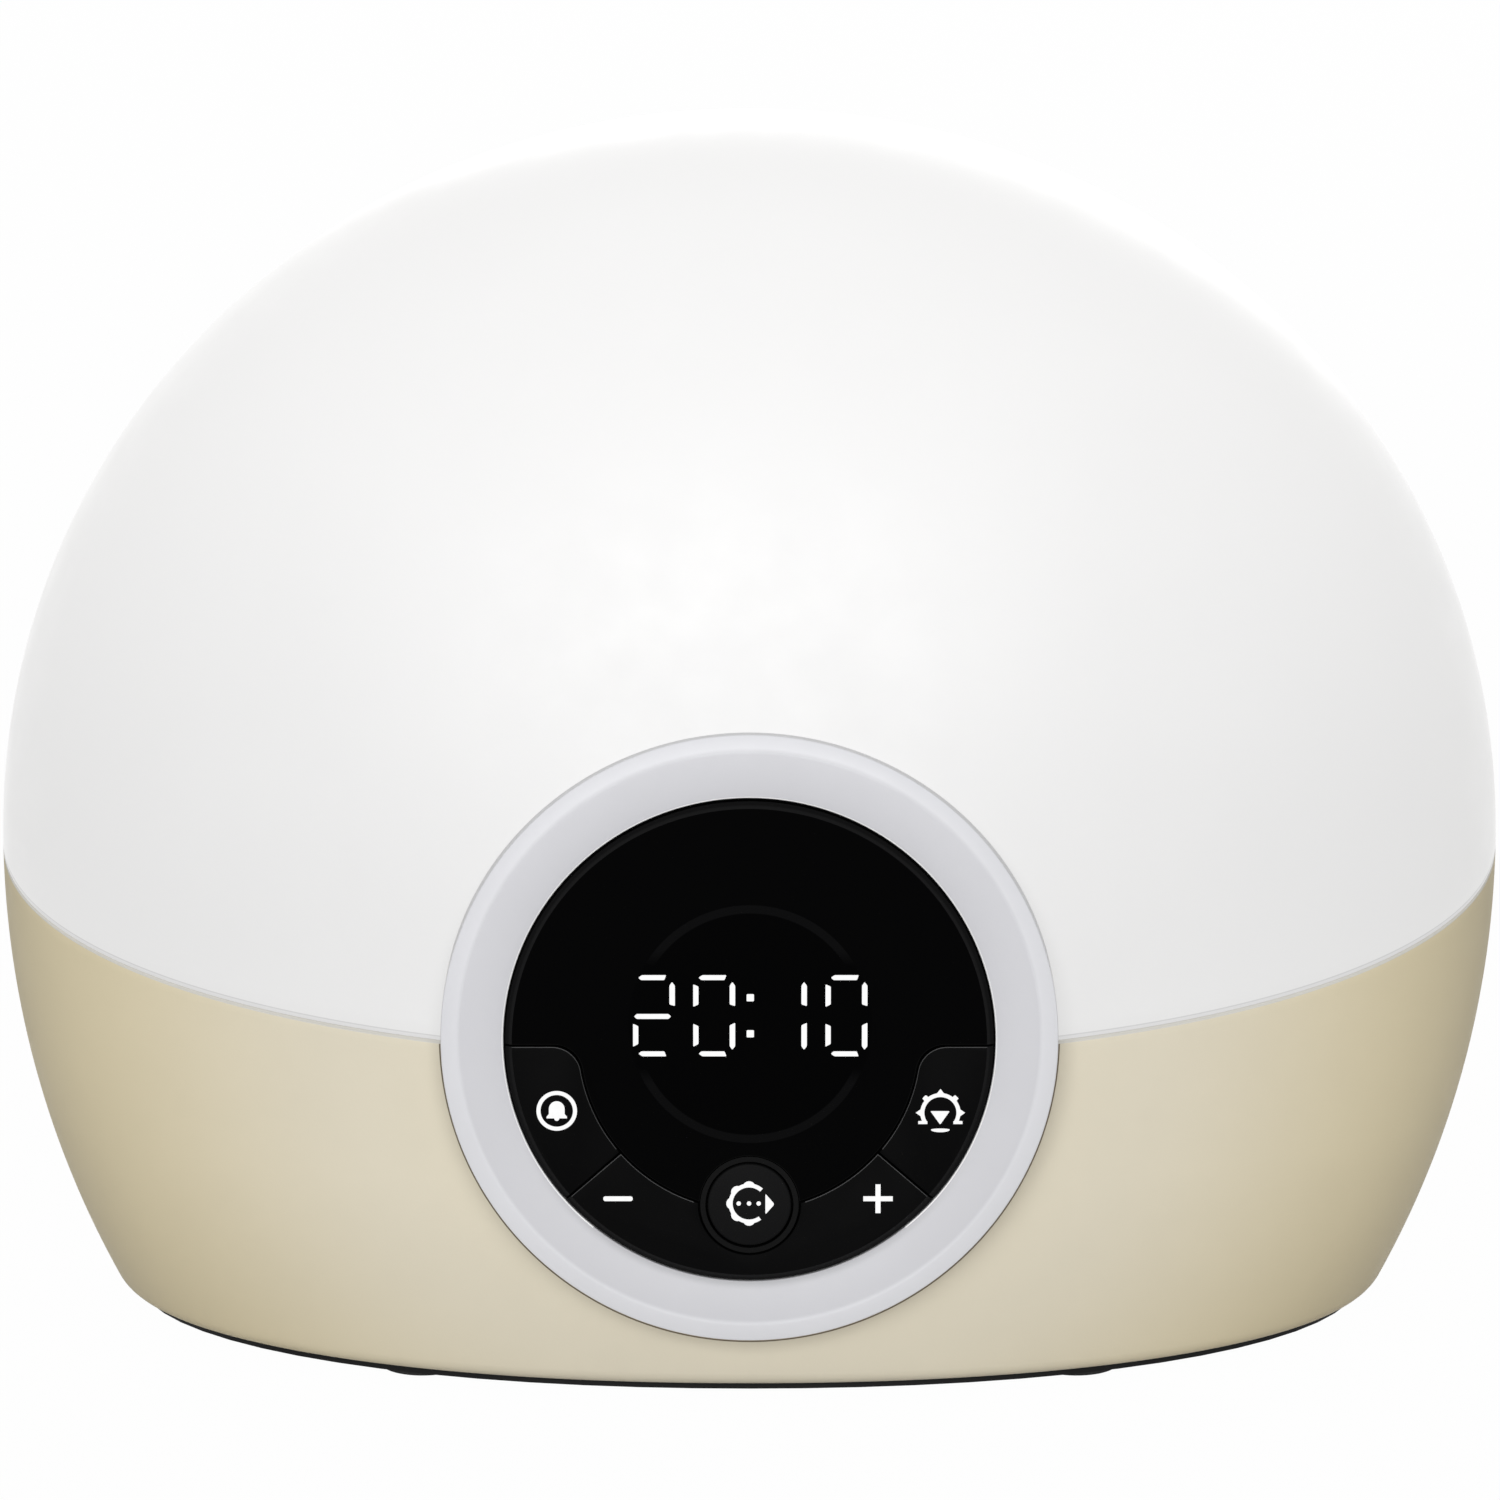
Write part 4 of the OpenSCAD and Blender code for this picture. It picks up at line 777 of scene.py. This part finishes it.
def disc_part(outline, thick, plain=lambda middle: False):
    """A cap cut from the black disc: a wide bevel at the disc's rim and fine edges elsewhere.
    The bevel takes the piece's second finish and the fine edges its third, unless plain."""
    bm = plates([outline], DISC_PROUD - thick, DISC_PROUD)
    rim = [e for e in bm.edges if higher(e, DISC_PROUD - 0.01) and all(map(at_rim, e.verts))]
    bevelled = bmesh.ops.bevel(bm, geom=rim, offset=DISC_BEVEL, offset_type="OFFSET", segments=1,
                               profile=0.5, affect="EDGES", clamp_overlap=False, material=-1)
    for face in bevelled["faces"]:
        face.material_index = 1
    fine = ease(bm, 0.1, least=60, chosen=lambda edge: higher(edge, DISC_PROUD - DISC_BEVEL - 0.05)
                and not any(map(at_rim, edge.verts)))
    for face in fine:
        face.material_index = 0 if plain(face.calc_center_median()) else 2
    return bm


def mirrored(points):
    return [(-u, v) for u, v in reversed(points)]


def arc_edge(grown):
    """Upper left edge of the key band: along the top, round the corner and on to the arc."""
    top = KEY_TOP - grown
    v = top - KEY_ROUND
    radius = ARC_R + grown
    u = -math.sqrt((radius + KEY_ROUND) ** 2 - (v - ARC_V) ** 2)
    turn = bearing((0, ARC_V), (u, v)) % 360
    return arc((u, v), KEY_ROUND, 90, turn - 180, 6), radius, turn


corner, radius, turn = arc_edge(-KEY_GAP / 2)
cut = meet((0, ARC_V), radius, CENTRE, BY_COLLAR_R)
rim_turn = 180 + math.degrees(math.asin(-(KEY_TOP + KEY_GAP / 2) / DISC_R))
half = (arc((0, 0), DISC_R, 90, rim_turn) + corner
        + arc((0, ARC_V), radius, turn, bearing((0, ARC_V), cut) % 360)[1:]
        + arc(CENTRE, BY_COLLAR_R, bearing(CENTRE, cut), 90, 4)[1:])
# The light circle shows faintly, save where the row of numerals crosses it.
smoked = paint("smoked_window", Specular_IOR_Level=0.015, IOR=1.49)
flat, up_face = off_axis(smoked)
from_middle = node(smoked, "VectorMath", {0: flat, 1: LIGHT_AT},
                   operation="DISTANCE").outputs["Value"]
clear = math_node(smoked, "SUBTRACT", 1.0, near(smoked, up_face, 0.0036, 0.0071))
seen = math_node(smoked, "MULTIPLY", near(smoked, from_middle, LIGHT_R, 0.0005), clear)
outside = ramp(smoked, from_middle, 0.0164, 0.0168, high=0.12)
tint(smoked, math_node(smoked, "MAXIMUM", seen, outside),
     (0.0005, 0.0005, 0.0006), (0.0034, 0.0034, 0.0036))
feed(smoked, "Roughness", spread(smoked, noise(smoked, 220, 4), 0.06, 0.10))
bevel_finish = textured("cut_bevel", 0.5, 2600, 0.000004, Specular_IOR_Level=0.03)
to_rim = ramp(bevel_finish, length(bevel_finish, off_axis(bevel_finish)[0]), 0.0328, 0.0330)
tint(bevel_finish, to_rim, (0.0082, 0.0082, 0.0084), (0.0034, 0.0034, 0.0035))
# The keys' fine edges are painted paler, a painted highlight where they catch the light.
key_edge_highlight = moulded("fine_edge_highlight", (0.028, 0.028, 0.029), (0.036, 0.036, 0.037), 0.4,
                      2600, 0.000004, Specular_IOR_Level=0.2)
dark_edge = moulded("dark_edge", (0.0034, 0.0034, 0.0035), (0.0042, 0.0042, 0.0043), 0.5,
                    2600, 0.000004, Specular_IOR_Level=0.02)
shape = disc_part(half + mirrored(half)[1:-1], WINDOW_THICK)
window = piece("smoked_face", shape, (smoked, bevel_finish, dark_edge), PANEL, 30)
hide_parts("display_window")
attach(window, "root")

# Lit numerals: seven-segment bars of white light behind the window, with a colon of two dots.
# They lie flush on the window's face, as its polished surface shows them.
DIGIT_V = 3.81
SEGMENTS_LOW = 1.47
SEGMENTS_HIGH = 1.515
digit_light = paint("digit_light", Base_Color=(0.02, 0.02, 0.02, 1), Roughness=0.4,
                    Emission_Color=(1, 1, 1, 1), Specular_IOR_Level=0.1)
feed(digit_light, "Emission Strength",
     spread(digit_light, noise(digit_light, 900, 2), 0.94, 0.98))
bars = {
    "top": [(-2.143, 5.295), (-1.638, 5.658), (1.665, 5.658), (1.406, 4.961), (-1.775, 4.961)],
    "middle": [(-2.73, -0.098), (-2.375, 0.251), (1.966, 0.251), (2.321, -0.098),
               (1.966, -0.446), (-2.375, -0.446)],
    "upper_right": [(2.457, 4.71), (2.853, 4.181), (2.853, 1.352), (2.102, 1.575), (2.102, 4.181)],
    "lower_right": [(2.102, -1.338), (2.853, -0.975), (2.853, -4.25), (2.457, -4.738),
                    (2.102, -4.25)],
    "upper_left": [(-2.88, 4.376), (-2.157, 4.069), (-2.157, 1.575), (-2.88, 1.24)],
    "lower_left": [(-2.88, -1.115), (-2.157, -1.449), (-2.157, -3.93), (-2.88, -4.32)],
}
bars["bottom"] = [(x, -y) for x, y in reversed(bars["top"])]
ZERO = ("top", "upper_right", "lower_right", "bottom", "lower_left", "upper_left")
shown = [(-13.03, ("top", "upper_right", "middle", "lower_left", "bottom")), (-4.8, ZERO),
         (5.0, ("upper_right", "lower_right")), (13.27, ZERO)]
outlines = [[(u + x, DIGIT_V + y) for x, y in bars[lit]] for u, digit in shown for lit in digit]
outlines += [[(0.12 + x, DIGIT_V + v + y)
              for x, y in ((-0.5, -0.5), (0.5, -0.5), (0.5, 0.5), (-0.5, 0.5))]
             for v in (2.51, -2.51)]
segments = plates(outlines, SEGMENTS_LOW, SEGMENTS_HIGH, corner=0.13)
numerals = piece("lit_numerals", segments, digit_light, PANEL)
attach(numerals, "root")

# Display block and key carrier: black mouldings behind the disc. The carrier's collar stands
# round the middle key.
display_plastic = moulded("display_plastic", (0.010, 0.010, 0.011), (0.015, 0.015, 0.016), 0.5)
dress(display_plastic, "clock_display")
carrier_plastic = moulded("carrier_plastic", (0.0030, 0.0030, 0.0031), (0.0036, 0.0036, 0.0037),
                          0.45, Specular_IOR_Level=0.04)
dress(carrier_plastic, "key_carrier")

# Switches behind the keys: tinned housings on the control board, with small ivory plungers. The
# rocker's pin is ground steel.
switch_metal = mottled("switch_metal", (0.32, 0.32, 0.33), (0.48, 0.48, 0.50), (800, 4),
                       (1500, 3), (0.3, 0.5), Metallic=0.9)
dress(switch_metal, "switch_housings")
plunger_plastic = moulded("plunger_plastic", (0.66, 0.64, 0.60), (0.74, 0.72, 0.68), 0.4)
dress(plunger_plastic, "alarm_plunger", "sunset_plunger", "centre_plunger", "rocker_plungers")
pin_steel = mottled("pin_steel", (0.60, 0.60, 0.61), (0.72, 0.72, 0.73), (1200, 4), (2500, 3),
                    (0.16, 0.28), Metallic=1.0)
dress(pin_steel, "rocker_pin")

# Alarm key and sunset key: matt black push keys at the left and right of the disc. Each has a
# stem to its switch, two guide pins, and a lit symbol.
KEY_THICK = 2.0
KEY_MID_R = DISC_R - 5.35
KEY_MID_TURN = 202
PIN_TURNS = (13, -14)
STEM_R = 2.0
STEM_END = -4.9
PIN_END = -4.0
key_plastic = moulded("key_plastic", (0.0019, 0.0019, 0.0020), (0.0025, 0.0025, 0.0026), 0.5,
                      2600, 0.000008, Specular_IOR_Level=0.015)
corner, radius, turn = arc_edge(KEY_GAP / 2)
heading = Vector((math.cos(math.pi + SPLIT), math.sin(math.pi + SPLIT)))
beside = Vector((-heading.y, heading.x)) * -KEY_GAP / 2


def on_split(offset, centre, radius):
    """Where a line beside the split, moved by offset, crosses a circle."""
    start = offset - Vector(centre)
    back = start.dot(heading)
    return offset + heading * (math.sqrt(back * back - start.length_squared + radius * radius)
                               - back)


inner = on_split(beside, (0, ARC_V), radius)
outer = on_split(beside, (0, 0), DISC_R)
rim_turn = 180 + math.degrees(math.asin(-(KEY_TOP - KEY_GAP / 2) / DISC_R))
outline = (corner + arc((0, ARC_V), radius, turn, bearing((0, ARC_V), inner) % 360)[1:]
           + arc((0, 0), DISC_R, bearing((0, 0), outer) % 360, rim_turn))


def stems(target, places):
    """Round stems and pins under a key, each given by centre, radius and depth."""
    for at, radius, end in places:
        stem = piece("stem", drum(radius, end, 0.2, 32, at), key_plastic, PANEL)
        carve(target, stem, "UNION", 30)


# Fine edges by the split between the keys keep the key's own black, with no painted highlight.
def by_split(middle):
    return abs(middle.x * heading.y - middle.y * heading.x) < 0.6


left_stems = [(polar(KEY_MID_R, KEY_MID_TURN), STEM_R, STEM_END)] + [
    (polar(KEY_MID_R + 0.6, KEY_MID_TURN + turn), 1.0, PIN_END) for turn in PIN_TURNS]
flip = Matrix.Scale(-1, 4, (1, 0, 0))
# The keys' fine edges carry the painted highlight.
for name, side, body in (("alarm_cap", 1, "alarm_key"), ("sunset_cap", -1, "sunset_key")):
    shape = disc_part(outline, KEY_THICK, by_split)
    if side < 0:
        shape.transform(flip)
        bmesh.ops.reverse_faces(shape, faces=shape.faces)
    key = piece(name, shape, (key_plastic, bevel_finish, key_edge_highlight), PANEL, 30)
    stems(key, [((side * at[0], at[1]), r, end) for at, r, end in left_stems])
    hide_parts(body)
    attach(key, body)

# Lit symbols: clear windows in the black key caps with white light behind them. A bell in a
# circle on the alarm key and a setting sun on the sunset key.
symbol_light = paint("symbol_light", Roughness=0.5, Emission_Color=(1, 1, 1, 1),
                     Specular_IOR_Level=0.1)
tint(symbol_light, spread(symbol_light, noise(symbol_light, 1500, 3), 0, 1), (0.02, 0.02, 0.02),
     (0.03, 0.03, 0.03))
feed(symbol_light, "Emission Strength",
     spread(symbol_light, noise(symbol_light, 1500, 3), 0.93, 0.97))
LIT_LOW = DISC_PROUD - 0.02
LIT_HIGH = DISC_PROUD + 0.001


def band(inside, outside, closed):
    """A plate between two edges of equal length, which close to a ring or stay open."""
    bm = bmesh.new()
    inside, outside = [[bm.verts.new((u, v, LIT_LOW)) for u, v in edge]
                       for edge in (inside, outside)]
    for i in range(-1 if closed else 0, len(inside) - 1):
        bm.faces.new((inside[i], inside[i + 1], outside[i + 1], outside[i]))
    bmesh.ops.recalc_face_normals(bm, faces=bm.faces)
    return raised(bm, (0, 0, LIT_HIGH - LIT_LOW))


def symbol(name, centre, parts, body):
    """One lit symbol from parts drawn about its centre. A part is a solid outline with the radius
    of its corners, or a band, closed or not, between two edges."""
    whole = bmesh.new()
    for kind, how, *edges in parts:
        edges = [[(centre[0] + u, centre[1] + v) for u, v in edge] for edge in edges]
        if kind == "band":
            bm = band(*edges, how)
        else:
            bm = plates(edges, LIT_LOW, LIT_HIGH, how, 4)
        spare = bpy.data.meshes.new("part")
        bm.to_mesh(spare)
        bm.free()
        whole.from_mesh(spare)
        bpy.data.meshes.remove(spare)
    made = piece(name, whole, symbol_light, PANEL)
    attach(made, body)


bell = ([(-1.4, -1.05), (1.4, -1.05), (1.4, -0.82), (1.08, -0.45)]
        + arc((0, 0.27), 1.08, 0, 180, 12) + [(-1.08, -0.45), (-1.4, -0.82)])
clapper = [(0.36, -1.05), (-0.36, -1.05)] + arc((0, -1.04), 0.36, 180, 360, 20)
bell_ring = [arc((0, 0), radius, 0, 355, 5) for radius in (2.22, 2.78)]
symbol("bell_symbol", (-26.38, -9.47),
       [("band", True, *bell_ring), ("solid", 0, bell), ("solid", 0, clapper)], "alarm_key")
low_end = math.degrees(math.asin(-1.13 / 2.79))
sun = ([(1.78, -1.17), (1.78, -1.58), (3.03, -1.58), (3.03, -1.17)]
       + arc((0, 0), 2.76, low_end, -10) + [(3.38, 0.0)] + arc((0, 0), 2.76, 10, 37)
       + arc((0, 0), 3.18, 39, 51) + arc((0, 0), 2.76, 53, 80) + [(0, 3.33)])
low_end = math.degrees(math.asin(-1.17 / 2.2))
sun += mirrored(sun)[1:] + arc((0, 0), 2.2, 180 - low_end, low_end, 5)
lens = [(1.3 * math.cos(math.radians(a)), -2.36 + 0.36 * math.sin(math.radians(a)))
        for a in range(192, 349, 12)]
symbol("sunset_symbol", (26.15, -9.74),
       [("solid", 0, sun),
        ("solid", 0.16, [(-1.38, 0.24), (1.28, 0.24), (-0.02, -1.66)]),
        ("solid", 0, lens + [(u, -2.36 + (v + 2.36) * -0.45) for u, v in reversed(lens)])],
       "sunset_key")

# Middle key: a small round black push key in its own collar, with a guide pin beside its stem.
# Its symbol is an open toothed ring round three dots and an arrow.
CENTRE_R = 5.75
shape = drum(CENTRE_R, DISC_PROUD - KEY_THICK, DISC_PROUD, 128, CENTRE)
ease(shape, 0.3, least=60, steps=4, chosen=lambda edge: higher(edge, 1))
middle_plastic = moulded("middle_plastic", (0.0046, 0.0046, 0.0048), (0.0054, 0.0054, 0.0056),
                         0.5, 2600, 0.000008, Specular_IOR_Level=0.03)
centre_cap = piece("middle_cap", shape, middle_plastic, PANEL, 30)
stems(centre_cap, [(CENTRE, STEM_R, STEM_END), ((3.9, CENTRE.y), 0.8, PIN_END)])
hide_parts("centre_key")
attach(centre_cap, "centre_key")


def toothed(start, end, base, tip, teeth, reach):
    """Outer edge of a ring with a low round tooth at each angle, reach degrees to each side."""
    points = []
    for angle in range(start, end + 1, 3):
        lift = max(math.cos(math.pi / 2 * min(1, abs(angle - t) / reach)) for t in teeth)
        points.append(polar(base + (tip - base) * max(0.0, lift) ** 0.6, angle))
    return points


def dot(u):
    return ("solid", 0, arc((u, 0), 0.31, 0, 345, 15))


toothed_edge = toothed(48, 306, 2.82, 3.12, (90, 135, 180, 225, 270), 14)
symbol("middle_symbol", (-0.05, -22.46),
       [("band", False, arc((0, 0), 2.25, 48, 306, 3), toothed_edge), dot(-1.42), dot(0),
        dot(1.32), ("solid", 0.25, [(2.24, 1.4), (2.24, -1.55), (3.5, -0.1)])], "centre_key")

# Rocker: matt black crescent below the middle key, hung on a pin behind it. One end lowers, the
# other raises, marked with a minus and a plus.
inner = on_split(-beside, (0, ARC_V), radius)
outer = on_split(-beside, (0, 0), DISC_R)
cut = meet((0, ARC_V), radius, CENTRE, COLLAR_R + KEY_GAP)
half = (arc((0, 0), DISC_R, 270, bearing((0, 0), outer) % 360)
        + arc((0, ARC_V), radius, bearing((0, ARC_V), inner) % 360,
              bearing((0, ARC_V), cut) % 360)
        + arc(CENTRE, COLLAR_R + KEY_GAP, bearing(CENTRE, cut) % 360, 270, 4)[1:])
# Its fine edges carry the painted highlight, save round the collar.
shape = disc_part(half + mirrored(half)[1:-1], KEY_THICK,
                  lambda middle: (middle.xy - CENTRE).length < COLLAR_R + 0.8)
rocker = piece("rocker_cap", shape, (key_plastic, bevel_finish, key_edge_highlight), PANEL, 30)
stems(rocker, [(polar(KEY_MID_R, angle), STEM_R, STEM_END) for angle in (231, 309)])
lug = brick((-1.6, -32.9, STEM_END), (1.6, -29.7, 0))
carve(rocker, piece("pivot_lug", lug, key_plastic, PANEL), "UNION", 30)
on_pin = PANEL @ Matrix.Translation((0, 0, -3.5)) @ Matrix.Rotation(math.radians(-90), 4, "X")
carve(rocker, piece("pin_hole", drum(0.86, -34, -28, 48), key_plastic, on_pin), "DIFFERENCE", 30)
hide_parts("rocker_key")
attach(rocker, "rocker")
BAR_LONG = 2.02
minus = [(-BAR_LONG, -0.34), (BAR_LONG, -0.34), (BAR_LONG, 0.34), (-BAR_LONG, 0.34)]
symbol("minus_symbol", (-18.03, -21.79), [("solid", 0.3, minus)], "rocker")
# One arm of the plus, turned four times.
plus = []
for c, s in ((1, 0), (0, 1), (-1, 0), (0, -1)):
    plus += [(c * u - s * v, s * u + c * v) for u, v in ((0.35, -0.35), (BAR_LONG, -0.35),
                                                         (BAR_LONG, 0.35))]
symbol("plus_symbol", (17.64, -21.79), [("solid", 0, plus)], "rocker")

# Studio: a plain pale floor, a white surround, a large soft light in front and above with a weaker
# one behind, and the camera low in front of the clock.
CAMERA_AT = (0.00008, -1.0689, 0.3273)
LOOK_AT = (0.00008, 0.00286, 0.0799)
FOCAL_LENGTH = 183.4
LAMP_SIZE = (1.5, 1.1)
floor_mesh = bmesh.new()
bmesh.ops.create_grid(floor_mesh, x_segments=2, y_segments=2, size=4)
floor_white = bpy.data.materials.new("floor_white")
floor_white.use_nodes = True
floor_white.node_tree.nodes.clear()
out = node(floor_white, "OutputMaterial")


def seen_white(made):
    """1 for what the camera sees, also in a reflection or through glass, and 0 for light."""
    ray = node(made, "LightPath").outputs
    return math_node(made, "MAXIMUM", ray["Is Transmission Ray"],
                     math_node(made, "MAXIMUM", ray["Is Camera Ray"], ray["Is Glossy Ray"]))


matt = node(floor_white, "BsdfDiffuse", {"Color": (0.62, 0.62, 0.62, 1)})
plain = node(floor_white, "Emission", {"Color": (1, 1, 1, 1), "Strength": 1.0})
share = math_node(floor_white, "MULTIPLY", seen_white(floor_white), 0.985)
both = node(floor_white, "MixShader", {0: share, 1: matt.outputs["BSDF"],
                                       2: plain.outputs["Emission"]})
floor_white.node_tree.links.new(both.outputs["Shader"], out.inputs["Surface"])
floor = piece("studio_floor", floor_mesh, floor_white, Matrix.Identity(4))

world = bpy.data.worlds.new("studio")
bpy.context.scene.world = world
world.use_nodes = True
world.node_tree.nodes.clear()
sky_out = node(world, "OutputWorld")
dim = node(world, "Background", {"Color": (1, 1, 1, 1), "Strength": 0.30})
white = node(world, "Background", {"Color": (1, 1, 1, 1), "Strength": 1.0})
sky = node(world, "MixShader", {0: seen_white(world), 1: dim.outputs["Background"],
                                2: white.outputs["Background"]})
world.node_tree.links.new(sky.outputs["Shader"], sky_out.inputs["Surface"])


def lamp(name, at, watts):
    """A soft light aimed at the middle of the clock."""
    light = bpy.data.lights.new(name, "AREA")
    light.shape = "RECTANGLE"
    light.size, light.size_y = LAMP_SIZE
    light.energy = watts
    holder = bpy.data.objects.new(name, light)
    holder.location = at
    aim = Vector((0, 0, 0.07)) - Vector(at)
    holder.rotation_euler = aim.to_track_quat("-Z", "Y").to_euler()
    bpy.context.scene.collection.objects.link(holder)


lamp("front_soft", (-0.1, -1.9, 0.62), 30)
lamp("back_soft", (0.3, 1.9, 0.9), 17)

camera = bpy.data.cameras.new("camera")
camera.lens = FOCAL_LENGTH
camera.sensor_width = 36
view_point = bpy.data.objects.new("camera", camera)
view_point.location = CAMERA_AT
aim = Vector(LOOK_AT) - Vector(CAMERA_AT)
view_point.rotation_euler = aim.to_track_quat("-Z", "Y").to_euler()
bpy.context.scene.collection.objects.link(view_point)
bpy.context.scene.camera = view_point
bpy.context.scene.view_settings.view_transform = "Standard"
